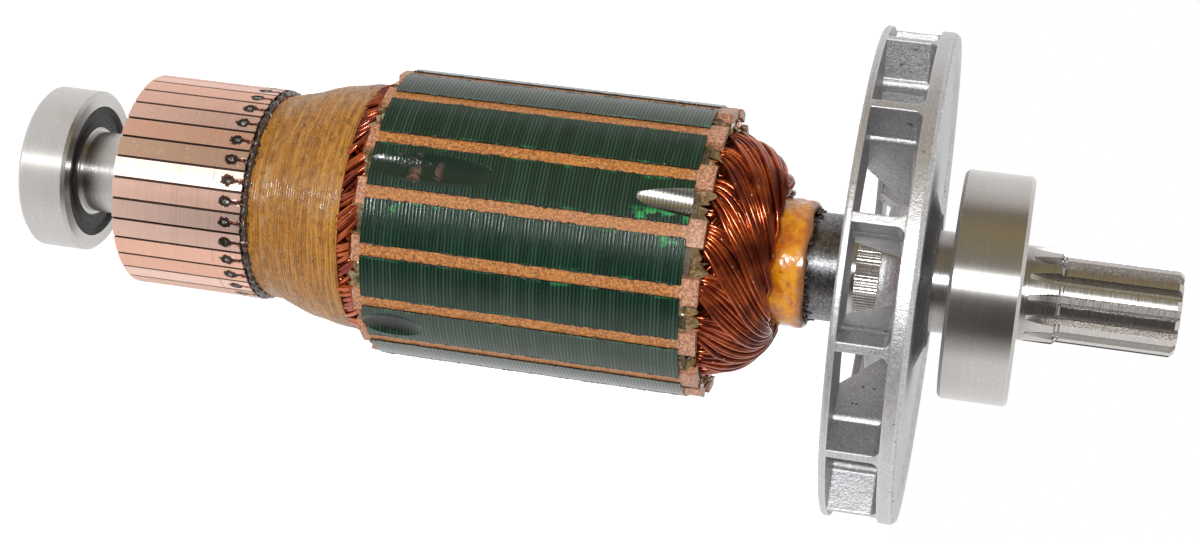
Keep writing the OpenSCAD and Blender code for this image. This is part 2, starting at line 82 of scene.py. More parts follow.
Z_COMM, Z_COMM_END = heights("commutator_bar_01")
Z_BAND, Z_BAND_END = heights("cord_band")
Z_CORE, Z_CORE_END = heights("core")
Z_TURNS_TOP = heights("winding_fan_end")[1]
Z_TUBE_END = heights("shaft_insulating_tube")[1]
Z_FAN, Z_FAN_BACK = heights("fan")
Z_DRIVE, Z_NECK = heights("drive_bearing_outer_ring")
Z_END = heights("shaft")[1]
R_CORE = 26.0
R_TUBE = reach("shaft_insulating_tube")
R_COMM = 19.4
R_BODY = 9.5
R_FAN_SEAT = 8.9
R_SPLINE = 7.75
NECK_LEN = 6.5

SLOTS = 16
SLOT_ANGLE = math.radians(-5.9)
SLOT_STEP = TAU / SLOTS
BARS = 32
BAR_ANGLE = math.radians(1.6)
BAR_STEP = TAU / BARS
RISER_LEN = 3.4
Z_STAKE = Z_COMM_END - 3.0
STAKE_LONG = 1.15
STAKE_WIDE = 0.95
RISER_W = 1.1
MOUTH_W = 2.3
NOTCH_LAND = 11
SHORT_SCOOP_LAND = 14

BAR_NODES = ["commutator_bar_%02d" % k for k in range(1, BARS + 1)]


def land_angle(k):
    return SLOT_ANGLE + (k + 0.5) * SLOT_STEP


def bar_centre(k):
    """Angle of the middle of bar k, counted from 1."""
    return BAR_ANGLE + (k - 0.5) * BAR_STEP


# ---- Settings a user would change ----

class ArmatureWires(bpy.types.PropertyGroup):
    diameter: FloatProperty(
        name="Wire diameter", description="Diameter of one enamelled wire",
        default=0.84 * MM, unit="LENGTH", subtype="DISTANCE", precision=5)
    across: IntProperty(
        name="Wires across", description="Wires side by side in the top row of one coil",
        default=9, min=4, max=16)
    rows: IntProperty(
        name="Rows", description="Rows of wires in one coil", default=2, min=1, max=4)
    sweep: FloatProperty(
        name="Sweep", description="How far a coil turns around the shaft on its way to the top",
        default=math.radians(72), subtype="ANGLE")


class ArmatureBand(bpy.types.PropertyGroup):
    pitch: FloatProperty(
        name="Cord pitch", description="Distance between two turns of the cord",
        default=0.5 * MM, unit="LENGTH", subtype="DISTANCE", precision=5)
    colour: FloatVectorProperty(
        name="Cord colour", description="Colour of the varnished cord",
        default=(0.47, 0.185, 0.016), size=3, subtype="COLOR")


class ArmatureCore(bpy.types.PropertyGroup):
    sheet: FloatProperty(
        name="Sheet thickness", description="Thickness of one sheet of the stack",
        default=0.635 * MM, unit="LENGTH", subtype="DISTANCE", precision=5)
    varnish: FloatVectorProperty(
        name="Varnish colour", description="Colour of the varnish on the stack",
        default=(0.012, 0.062, 0.032), size=3, subtype="COLOR")


class ArmatureMetals(bpy.types.PropertyGroup):
    copper: FloatVectorProperty(
        name="Copper", description="Colour of the commutator bars",
        default=(0.86, 0.49, 0.36), size=3, subtype="COLOR")
    steel: FloatVectorProperty(
        name="Steel", description="Colour of ground steel",
        default=(0.62, 0.60, 0.58), size=3, subtype="COLOR")
    casting: FloatVectorProperty(
        name="Casting", description="Colour of the cast fan",
        default=(0.66, 0.66, 0.68), size=3, subtype="COLOR")


class ArmatureStage(bpy.types.PropertyGroup):
    lens: FloatProperty(
        name="Lens", description="Focal length for a sensor 36 mm wide", default=63.83)
    distance: FloatProperty(
        name="Distance", description="Distance from the camera to the shaft axis",
        default=374.42 * MM, unit="LENGTH", subtype="DISTANCE")
    key: FloatProperty(
        name="Key lamp", description="Power of the key lamp", default=4.6, unit="POWER")


SETTINGS = {
    "armature_wires": ArmatureWires, "armature_band": ArmatureBand, "armature_core": ArmatureCore,
    "armature_metals": ArmatureMetals, "armature_stage": ArmatureStage,
}


# ---- Mesh building ----

def polar(r, angle, z):
    """Points from radius, angle and height, all in millimetres and radians, as an array in metres."""
    r, angle, z = np.broadcast_arrays(r, angle, z)
    return np.stack([r * np.cos(angle), r * np.sin(angle), z], axis=-1) * MM


def build(name, points, faces, finish, smooth=True, body=ROTOR):
    """A piece from points and one or more arrays of faces, riding on a body of the frame."""
    points = np.asarray(points, np.float32).reshape(-1, 3)
    faces = [np.asarray(f, np.int32) for f in (faces if isinstance(faces, list) else [faces])]
    corners = np.concatenate([f.ravel() for f in faces])
    counts = np.concatenate([np.full(len(f), f.shape[1], np.int32) for f in faces])
    starts = np.concatenate([[0], np.cumsum(counts)[:-1]]).astype(np.int32)
    mesh = bpy.data.meshes.new(name)
    mesh.vertices.add(len(points))
    mesh.vertices.foreach_set("co", points.ravel())
    mesh.loops.add(len(corners))
    mesh.loops.foreach_set("vertex_index", corners)
    mesh.polygons.add(len(counts))
    mesh.polygons.foreach_set("loop_start", starts)
    mesh.polygons.foreach_set("use_smooth", np.full(len(counts), smooth))
    mesh.update(calc_edges=True)
    mesh.validate()
    mesh.materials.append(finish)
    piece = bpy.data.objects.new(name, mesh)
    bpy.context.scene.collection.objects.link(piece)
    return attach(piece, body)


def unit(v):
    return v / np.maximum(np.linalg.norm(v, axis=-1, keepdims=True), 1e-12)


def tubes(paths, up, radius, sides):
    """Round wires along paths[wire, step]; up is a direction that no wire runs along."""
    along = unit(np.gradient(paths, axis=1))
    normal = unit(up - (up * along).sum(-1, keepdims=True) * along)
    side = np.cross(along, normal)
    turn = np.arange(sides) * TAU / sides
    ring = (normal[:, :, None] * np.cos(turn)[:, None] + side[:, :, None] * np.sin(turn)[:, None])
    points = paths[:, :, None] + ring * (radius * MM)
    wires, steps = paths.shape[:2]
    index = np.arange(wires * steps * sides).reshape(wires, steps, sides)
    after = np.roll(index, -1, axis=2)
    quads = np.stack([index[:, :-1], after[:, :-1], after[:, 1:], index[:, 1:]], axis=-1)
    caps = np.concatenate([index[:, 0, ::-1], index[:, -1]])
    return points.reshape(-1, 3), [quads.reshape(-1, 4), caps]


def loft(rings, closed=True):
    """Faces over rings[ring, point], each ring closed; closed joins the last ring to the first."""
    n, m = rings.shape[:2]
    index = np.arange(n * m).reshape(n, m)
    low, high = (index, np.roll(index, -1, axis=0)) if closed else (index[:-1], index[1:])
    quads = np.stack([low, np.roll(low, -1, axis=1), np.roll(high, -1, axis=1), high], axis=-1)
    return rings.reshape(-1, 3), quads.reshape(-1, 4)


def joined(parts):
    """One set of points and faces from several."""
    points, faces, base = [], {}, 0
    for p, fs in parts:
        p = np.asarray(p).reshape(-1, 3)
        for f in (fs if isinstance(fs, list) else [fs]):
            faces.setdefault(f.shape[1], []).append(f + base)
        points.append(p)
        base += len(p)
    return np.concatenate(points), [np.concatenate(faces[k]) for k in sorted(faces)]


def ripple(seed, count, around_max, z_max, angle, z):
    """Smooth irregularity from -1 to 1 that closes around the shaft."""
    rng = np.random.default_rng(seed)
    total = np.zeros(np.broadcast(angle, z).shape)
    for _ in range(count):
        m = rng.integers(0, around_max + 1)
        total = total + np.sin(m * angle + rng.uniform(-z_max, z_max) * z + rng.uniform(0, TAU))
    return total / math.sqrt(count) / 1.4


def lump_shape(detail):
    """Points and triangles of a unit ball to be pushed out of shape."""
    made = bmesh.new()
    bmesh.ops.create_icosphere(made, subdivisions=detail, radius=1)
    points = np.array([v.co for v in made.verts])
    faces = np.array([[v.index for v in f.verts] for f in made.faces])
    made.free()
    return points, faces


def lumps(places, sizes, seed, detail=2, rough=0.25):
    """Irregular lumps at places in metres; sizes are (around, along, out) in millimetres."""
    ball, faces = lump_shape(detail)
    rng = np.random.default_rng(seed)
    parts = []
    for place, size in zip(places, sizes):
        wave = rng.normal(0, 2.2, (4, 3))
        phase = rng.uniform(0, TAU, 4)
        shape = ball * (1 + rough * np.sin(ball @ wave.T + phase).sum(1, keepdims=True) / 2)
        angle = math.atan2(place[1], place[0])
        out = np.array([math.cos(angle), math.sin(angle), 0])
        axes = np.array([[-out[1], out[0], 0], [0, 0, 1], out])
        parts.append((np.asarray(place) + (shape * np.asarray(size) * MM) @ axes, faces))
    return joined(parts)


def shell(top, inward, thickness):
    """A closed thin sheet from a grid of points; inward is the direction of its thickness."""
    n, m = top.shape[:2]
    points = np.concatenate([top.reshape(-1, 3), (top + inward * thickness * MM).reshape(-1, 3)])
    index = np.arange(n * m).reshape(n, m)
    grid = np.stack([index[:-1, :-1], index[:-1, 1:], index[1:, 1:], index[1:, :-1]], -1).reshape(-1, 4)
    rim = np.concatenate([index[0, :-1], index[:-1, -1], index[-1, :0:-1], index[:0:-1, 0]])
    after = np.roll(rim, -1)
    wall = np.stack([after, rim, rim + n * m, after + n * m], -1)
    return points, [np.concatenate([grid, grid[:, ::-1] + n * m, wall])]


# ---- Shader building ----

def put(tree, kind, feed=None, **settings):
    """Adds a node. feed maps input sockets to constants or to output sockets."""
    made = tree.nodes.new(kind)
    for key, value in settings.items():
        setattr(made, key, value)
    for key, value in (feed or {}).items():
        socket = made.inputs[key]
        if isinstance(value, bpy.types.NodeSocket):
            tree.links.new(value, socket)
        else:
            socket.default_value = value
    return made


def calc(tree, operation, a, b=0.0, c=0.0):
    made = put(tree, "ShaderNodeMath", {0: a, 1: b, 2: c}, operation=operation)
    return made.outputs[0]


def ramp(tree, value, low, high, to_low=0.0, to_high=1.0, smooth=True):
    """Value from low to high mapped to to_low..to_high, held at the ends."""
    made = put(tree, "ShaderNodeMapRange", {
        "Value": value, "From Min": low, "From Max": high, "To Min": to_low, "To Max": to_high,
    }, interpolation_type="SMOOTHSTEP" if smooth else "LINEAR")
    return made.outputs["Result"]


def blend(tree, share, a, b, how="MIX"):
    """Colour a to colour b by share."""
    made = tree.nodes.new("ShaderNodeMix")
    made.data_type = "RGBA"
    made.blend_type = how
    for index, value in ((0, share), (6, a), (7, b)):
        socket = made.inputs[index]
        if isinstance(value, bpy.types.NodeSocket):
            tree.links.new(value, socket)
        else:
            socket.default_value = (*value, 1.0) if index else value
    return made.outputs[2]


def effect(name, inputs, outputs, fill):
    """A shader node group, built once. inputs maps names to defaults, outputs to socket kinds."""
    if name in bpy.data.node_groups:
        return bpy.data.node_groups[name]
    group = bpy.data.node_groups.new(name, "ShaderNodeTree")
    for key, default in inputs.items():
        socket = group.interface.new_socket(key, in_out="INPUT", socket_type="NodeSocketFloat")
        socket.default_value = default
    for key, kind in outputs.items():
        group.interface.new_socket(key, in_out="OUTPUT", socket_type="NodeSocket" + kind)
    given = group.nodes.new("NodeGroupInput").outputs
    results = fill(group, given)
    out = group.nodes.new("NodeGroupOutput")
    for key, value in results.items():
        group.links.new(value, out.inputs[key])
    return group


def use(tree, group, **feed):
    """Places a group; the keywords are its inputs, with _ for a space. Gives its outputs."""
    made = put(tree, "ShaderNodeGroup", node_tree=group)
    for key, value in feed.items():
        socket = made.inputs[key.replace("_", " ")]
        if isinstance(value, bpy.types.NodeSocket):
            tree.links.new(value, socket)
        else:
            socket.default_value = value
    return made.outputs


def place_in(tree):
    """Object coordinates, so that a finish turns with its piece."""
    return tree.nodes.new("ShaderNodeTexCoord").outputs["Object"]


def round_the_shaft():
    """Angle in radians, height and radius in millimetres."""
    def fill(tree, given):
        xyz = put(tree, "ShaderNodeSeparateXYZ", {0: place_in(tree)}).outputs
        x, y, z = (calc(tree, "MULTIPLY", xyz[i], 1000.0) for i in range(3))
        radius = calc(tree, "SQRT", calc(tree, "ADD", calc(tree, "MULTIPLY", x, x), calc(tree, "MULTIPLY", y, y)))
        return {"Angle": calc(tree, "ARCTAN2", y, x), "Height": z, "Radius": radius}
    return effect("Round the shaft", {}, {"Angle": "Float", "Height": "Float", "Radius": "Float"}, fill)


def grain():
    """Fine irregularity; Size is in millimetres."""
    def fill(tree, given):
        scale = calc(tree, "DIVIDE", 1000.0, given["Size"])
        noise = put(tree, "ShaderNodeTexNoise", {
            "Vector": place_in(tree), "Scale": scale, "Detail": given["Detail"], "Roughness": 0.6})
        return {"Value": noise.outputs["Fac"]}
    return effect("Grain", {"Size": 1.0, "Detail": 2.0}, {"Value": "Float"}, fill)


def blotches():
    """Patches with soft edges; Size is in millimetres, Cover the share of the surface."""
    def fill(tree, given):
        scale = calc(tree, "DIVIDE", 1000.0, given["Size"])
        noise = put(tree, "ShaderNodeTexNoise", {
            "Vector": place_in(tree), "Scale": scale, "Detail": 3.0, "Roughness": 0.55})
        low = calc(tree, "SUBTRACT", 0.68, calc(tree, "MULTIPLY", given["Cover"], 0.36))
        high = calc(tree, "ADD", low, given["Softness"])
        return {"Mask": ramp(tree, noise.outputs["Fac"], low, high)}
    return effect("Blotches", {"Size": 3.0, "Cover": 0.3, "Softness": 0.08}, {"Mask": "Float"}, fill)


def specks():
    """Small round dots; Size is in millimetres, Cover the share of the cells that have one."""
    def fill(tree, given):
        scale = calc(tree, "DIVIDE", 1000.0, given["Size"])
        cells = put(tree, "ShaderNodeTexVoronoi", {"Vector": place_in(tree), "Scale": scale})
        pick = put(tree, "ShaderNodeSeparateColor", {0: cells.outputs["Color"]}).outputs[0]
        chosen = calc(tree, "LESS_THAN", pick, given["Cover"])
        dot = ramp(tree, cells.outputs["Distance"], 0.18, 0.42, 1.0, 0.0)
        return {"Mask": calc(tree, "MULTIPLY", chosen, dot)}
    return effect("Specks", {"Size": 0.6, "Cover": 0.2}, {"Mask": "Float"}, fill)


def edge_wear():
    """1 on sharp edges; Width is in millimetres."""
    def fill(tree, given):
        radius = calc(tree, "MULTIPLY", given["Width"], MM)
        bevel = put(tree, "ShaderNodeBevel", {"Radius": radius}, samples=4)
        true = put(tree, "ShaderNodeNewGeometry").outputs["Normal"]
        dot = put(tree, "ShaderNodeVectorMath", {0: bevel.outputs[0], 1: true}, operation="DOT_PRODUCT")
        noise = use(tree, grain(), Size=0.5, Detail=2.0)["Value"]
        low = ramp(tree, noise, 0.3, 0.7, 0.80, 0.97)
        return {"Mask": ramp(tree, dot.outputs["Value"], low, calc(tree, "ADD", low, 0.06), 1.0, 0.0)}
    return effect("Edge wear", {"Width": 0.4}, {"Mask": "Float"}, fill)


def turning_marks():
    """Fine rings left by turning or grinding; Pitch is in millimetres. Value is from 0 to 1."""
    def fill(tree, given):
        at = use(tree, round_the_shaft())
        fine = calc(tree, "DIVIDE", 1.0, given["Pitch"])
        vector = put(tree, "ShaderNodeCombineXYZ", {
            0: calc(tree, "MULTIPLY", at["Height"], fine), 1: calc(tree, "MULTIPLY", at["Radius"], fine),
            2: calc(tree, "MULTIPLY", calc(tree, "SINE", at["Angle"]), given["Waver"])})
        noise = put(tree, "ShaderNodeTexNoise", {
            "Vector": vector.outputs[0], "Scale": 1.0, "Detail": 3.0, "Roughness": 0.65})
        return {"Value": noise.outputs["Fac"]}
    return effect("Turning marks", {"Pitch": 0.12, "Waver": 0.6}, {"Value": "Float"}, fill)


def brushed(tree, to, amount=0.85):
    """Stretches highlights along the shaft, as on turned and ground metal."""
    to["Anisotropic"].default_value = amount
    to["Anisotropic Rotation"].default_value = 0.25
    round_z = put(tree, "ShaderNodeTangent", direction_type="RADIAL", axis="Z")
    tree.links.new(round_z.outputs[0], to["Tangent"])


def finish(name, colour, **constants):
    """A material with one Principled BSDF. Gives the material, its tree and the shader's inputs."""
    made = bpy.data.materials.new(name)
    made.use_nodes = True
    tree = made.node_tree
    shader = tree.nodes["Principled BSDF"]
    shader.inputs["Base Color"].default_value = (*colour, 1.0)
    for key, value in constants.items():
        shader.inputs[key.replace("_", " ")].default_value = value
    return made, tree, shader.inputs


def bump(tree, height, depth, strength=1.0, under=None):
    """Normal from a height of 0 to 1, depth in millimetres."""
    feed = {"Height": height, "Distance": depth * MM, "Strength": strength}
    if under is not None:
        feed["Normal"] = under
    return put(tree, "ShaderNodeBump", feed).outputs["Normal"]


def feed(tree, socket, value):
    tree.links.new(value, socket)


# ---- Finishes ----

def steel_finish(name, colour, rough=0.28, marks=0.1, depth=0.0012):
    """Ground steel with fine rings, faint stains and brighter edges."""
    made, tree, to = finish(name, colour, Metallic=1.0)
    rings = use(tree, turning_marks(), Pitch=marks)["Value"]
    stain = use(tree, blotches(), Size=7.0, Cover=0.3, Softness=0.3)["Mask"]
    wear = use(tree, edge_wear(), Width=0.3)["Mask"]
    dark = tuple(c * 0.88 for c in colour)
    tone = blend(tree, ramp(tree, rings, 0.3, 0.7), dark, colour)
    tone = blend(tree, calc(tree, "MULTIPLY", stain, 0.3), tone, (0.50, 0.46, 0.36))
    feed(tree, to["Base Color"], blend(tree, calc(tree, "MULTIPLY", wear, 0.6), tone, (0.86, 0.87, 0.84)))
    feed(tree, to["Roughness"], calc(tree, "ADD", ramp(tree, rings, 0.3, 0.7, rough, rough + 0.05),
                                     calc(tree, "MULTIPLY", stain, 0.05)))
    feed(tree, to["Normal"], bump(tree, rings, depth))
    brushed(tree, to)
    return made


def shaft_finish():
    """Ground seats and neck, a blackened body, and two scribed rings on the spline."""
    steel = tuple(bpy.context.scene.armature_metals.steel)
    made, tree, to = finish("shaft steel", steel, Metallic=1.0)
    at = use(tree, round_the_shaft())
    z = at["Height"]
    rings = use(tree, turning_marks(), Pitch=0.14)["Value"]
    wear = use(tree, edge_wear(), Width=0.3)["Mask"]
    body = calc(tree, "MULTIPLY", ramp(tree, z, Z_COMM_END, Z_COMM_END + 0.1),
                ramp(tree, z, Z_FAN - 1.9, Z_FAN - 1.6, 1.0, 0.0))
    grit = use(tree, grain(), Size=0.5, Detail=4.0)["Value"]
    bare = use(tree, blotches(), Size=3.2, Cover=0.5, Softness=0.3)["Mask"]
    flecks_and_glints = use(tree, specks(), Size=0.32, Cover=0.10)["Mask"]
    scorched = ramp(tree, calc(tree, "ADD", z, calc(tree, "MULTIPLY", grit, 2.4)),
                    Z_TUBE_END + 1.6, Z_TUBE_END + 3.0, 1.0, 0.0)
    black = blend(tree, ramp(tree, grit, 0.35, 0.7), (0.15, 0.15, 0.16), (0.36, 0.35, 0.36))
    black = blend(tree, calc(tree, "MULTIPLY", bare, 0.6), black, (0.50, 0.49, 0.49))
    # Painted glints: small near-white dots on the blackened body
    black = blend(tree, calc(tree, "MULTIPLY", flecks_and_glints, 0.7), black, (0.85, 0.85, 0.85))
    black = blend(tree, calc(tree, "MULTIPLY", scorched, 0.8), black, (0.05, 0.045, 0.045))
    bright = blend(tree, ramp(tree, rings, 0.35, 0.65), tuple(c * 0.86 for c in steel), steel)
    stain = use(tree, blotches(), Size=3.0, Cover=0.3, Softness=0.25)["Mask"]
    bright = blend(tree, calc(tree, "MULTIPLY", stain, 0.35), bright, (0.46, 0.38, 0.36))
    bright = blend(tree, calc(tree, "MULTIPLY", wear, 0.7), bright, (0.90, 0.87, 0.86))
    scribe = None
    for middle in (Z_NECK + NECK_LEN - 0.35, Z_NECK + NECK_LEN + 0.3):
        line = ramp(tree, calc(tree, "ABSOLUTE", calc(tree, "SUBTRACT", z, middle)), 0.08, 0.18, 1.0, 0.0)
        scribe = line if scribe is None else calc(tree, "MAXIMUM", scribe, line)
    on_lands = ramp(tree, at["Radius"], R_SPLINE - 0.25, R_SPLINE - 0.1)
    scribe = calc(tree, "MULTIPLY", scribe, on_lands)
    bright = blend(tree, calc(tree, "MULTIPLY", scribe, 0.8), bright, (0.12, 0.09, 0.09))
    feed(tree, to["Base Color"], blend(tree, body, bright, black))
    rough = ramp(tree, rings, 0.3, 0.7, 0.24, 0.32)
    feed(tree, to["Roughness"], calc(tree, "ADD", calc(tree, "MULTIPLY", body, 0.16), rough))
    height = calc(tree, "SUBTRACT", calc(tree, "ADD", calc(tree, "MULTIPLY", rings, 0.05),
                                         calc(tree, "MULTIPLY", calc(tree, "MULTIPLY", grit, body), 0.8)),
                  calc(tree, "MULTIPLY", scribe, 2.0))
    feed(tree, to["Normal"], bump(tree, height, 0.03))
    brushed(tree, to, 0.75)
    return made


def rubber_finish():
    made, tree, to = finish("seal rubber", (0.02, 0.022, 0.022), Metallic=0.0)
    rings = use(tree, turning_marks(), Pitch=0.5, Waver=0.2)["Value"]
    dust = use(tree, blotches(), Size=2.5, Cover=0.45, Softness=0.25)["Mask"]
    fine = use(tree, grain(), Size=0.25, Detail=3.0)["Value"]
    tone = blend(tree, calc(tree, "MULTIPLY", dust, 0.5), (0.016, 0.018, 0.018), (0.075, 0.085, 0.08))
    feed(tree, to["Base Color"], blend(tree, ramp(tree, fine, 0.55, 0.75), tone, (0.10, 0.11, 0.105)))
    feed(tree, to["Roughness"], ramp(tree, fine, 0.3, 0.7, 0.36, 0.55))
    feed(tree, to["Normal"], bump(tree, calc(tree, "ADD", rings, calc(tree, "MULTIPLY", fine, 0.4)), 0.05))
    return made


def copper_finish():
    """Turned copper; each bar is nearly flat, has its own tone and leans by its own small angle."""
    copper = tuple(bpy.context.scene.armature_metals.copper)
    made, tree, to = finish("bar copper", copper, Metallic=0.82)
    at = use(tree, round_the_shaft())
    z = at["Height"]
    turn = calc(tree, "DIVIDE", calc(tree, "SUBTRACT", at["Angle"], BAR_ANGLE - TAU), BAR_STEP)
    bar = calc(tree, "MODULO", calc(tree, "FLOOR", turn), float(BARS))
    across = calc(tree, "SUBTRACT", calc(tree, "FRACT", turn), 0.5)
    offset = calc(tree, "MULTIPLY", across, BAR_STEP * R_COMM)
    lot = put(tree, "ShaderNodeTexWhiteNoise", {"W": calc(tree, "ADD", bar, 0.37)}, noise_dimensions="1D")
    tone, lean, third = (put(tree, "ShaderNodeSeparateColor", {0: lot.outputs["Color"]}).outputs[i]
                         for i in range(3))
    rings = use(tree, turning_marks(), Pitch=0.16)["Value"]
    wear = use(tree, edge_wear(), Width=0.16)["Mask"]
    cloud = use(tree, blotches(), Size=5.0, Cover=0.4, Softness=0.3)["Mask"]
    nick = use(tree, specks(), Size=0.5, Cover=0.02)["Mask"]
    pale, brown, olive = (0.96, 0.67, 0.57), (0.60, 0.30, 0.21), (0.55, 0.34, 0.19)
    metal = blend(tree, ramp(tree, tone, 0.1, 0.9), copper, pale)
    metal = blend(tree, calc(tree, "MULTIPLY", ramp(tree, third, 0.72, 0.8), 0.6), metal, olive)
    metal = blend(tree, calc(tree, "MULTIPLY", cloud, 0.16), metal, brown)
    metal = blend(tree, ramp(tree, rings, 0.60, 0.36, 0.0, 0.22), metal, brown)
    metal = blend(tree, calc(tree, "MULTIPLY", nick, 0.8), metal, (1.0, 0.86, 0.78))
    # A burnt oval where the wires are staked in, and the seam behind it; copper sunk below the bar faces, in the
    # slots and gaps, is painted near black as shade
    ragged = use(tree, grain(), Size=0.6, Detail=3.0)["Value"]
    along = calc(tree, "DIVIDE", calc(tree, "SUBTRACT", z, Z_STAKE), STAKE_LONG)
    wide = calc(tree, "DIVIDE", offset, STAKE_WIDE)
    oval = calc(tree, "SQRT", calc(tree, "ADD", calc(tree, "MULTIPLY", along, along),
                                   calc(tree, "MULTIPLY", wide, wide)))
    oval = ramp(tree, calc(tree, "ADD", oval, calc(tree, "MULTIPLY", ragged, 1.3)), 1.62, 1.80, 1.0, 0.0)
    seam = calc(tree, "ADD", calc(tree, "ABSOLUTE", offset), calc(tree, "MULTIPLY", ragged, -1.0))
    seam = calc(tree, "MULTIPLY", ramp(tree, seam, -0.30, -0.16, 1.0, 0.0), ramp(tree, along, 0.0, 0.4))
    # Painted shade: copper more than 0.1 mm below the bar face darkens, and is near black from 0.45 mm down
    inside = ramp(tree, at["Radius"], R_COMM - 0.45, R_COMM - 0.1, 1.0, 0.0)
    back = ramp(tree, calc(tree, "ADD", z, ragged), Z_COMM_END + 0.25, Z_COMM_END + 0.45)
    # burnt holds the burnt marks and the painted shade in the recesses
    burnt = calc(tree, "MAXIMUM", calc(tree, "MAXIMUM", oval, seam), calc(tree, "MAXIMUM", inside, back))
    scribe = ramp(tree, calc(tree, "ABSOLUTE", calc(tree, "SUBTRACT", z, Z_COMM_END - 5.6)),
                  0.04, 0.10, 1.0, 0.0)
    scribed = use(tree, blotches(), Size=9.0, Cover=0.5, Softness=0.1)["Mask"]
    scribe = calc(tree, "MULTIPLY", scribe, scribed)
    metal = blend(tree, calc(tree, "MULTIPLY", scribe, 0.7), metal, (0.25, 0.11, 0.08))
    metal = blend(tree, calc(tree, "MULTIPLY", wear, 0.7), metal, (0.97, 0.74, 0.62))
    feed(tree, to["Base Color"], blend(tree, burnt, metal, (0.05, 0.026, 0.018)))
    rough = ramp(tree, rings, 0.3, 0.7, 0.32, 0.40)
    feed(tree, to["Roughness"], calc(tree, "ADD", rough, calc(tree, "MULTIPLY", burnt, 0.15)))
    flat = calc(tree, "MULTIPLY", calc(tree, "MULTIPLY", offset, offset), 0.8 / (2 * R_COMM))
    slope = calc(tree, "MULTIPLY", calc(tree, "SUBTRACT", lean, 0.5), 0.16)
    face = calc(tree, "ADD", flat, calc(tree, "MULTIPLY", offset, slope))
    dent = calc(tree, "ADD", calc(tree, "MULTIPLY", oval, -0.06), calc(tree, "MULTIPLY", scribe, -0.02))
    height = calc(tree, "ADD", calc(tree, "ADD", face, dent), calc(tree, "MULTIPLY", rings, 0.0015))
    feed(tree, to["Normal"], bump(tree, height, 1.0))
    brushed(tree, to)
    return made


def plain_finish(name, dark, light, size, rough=(0.4, 0.6), depth=0.04, **constants):
    """Two tones mixed by grain, with matching bump: moulding, mica, plastic, fibre."""
    made, tree, to = finish(name, light, **constants)
    fine = use(tree, grain(), Size=size, Detail=4.0)["Value"]
    broad = use(tree, blotches(), Size=size * 7, Cover=0.4, Softness=0.2)["Mask"]
    tone = blend(tree, ramp(tree, fine, 0.35, 0.68), dark, light)
    feed(tree, to["Base Color"], blend(tree, calc(tree, "MULTIPLY", broad, 0.35), tone, dark))
    feed(tree, to["Roughness"], ramp(tree, fine, 0.3, 0.7, *rough))
    feed(tree, to["Normal"], bump(tree, fine, depth))
    return made


def one_of(tree, number, wanted):
    """1 where a whole number is the wanted one."""
    apart = calc(tree, "ABSOLUTE", calc(tree, "SUBTRACT", number, float(wanted)))
    return calc(tree, "LESS_THAN", apart, 0.5)


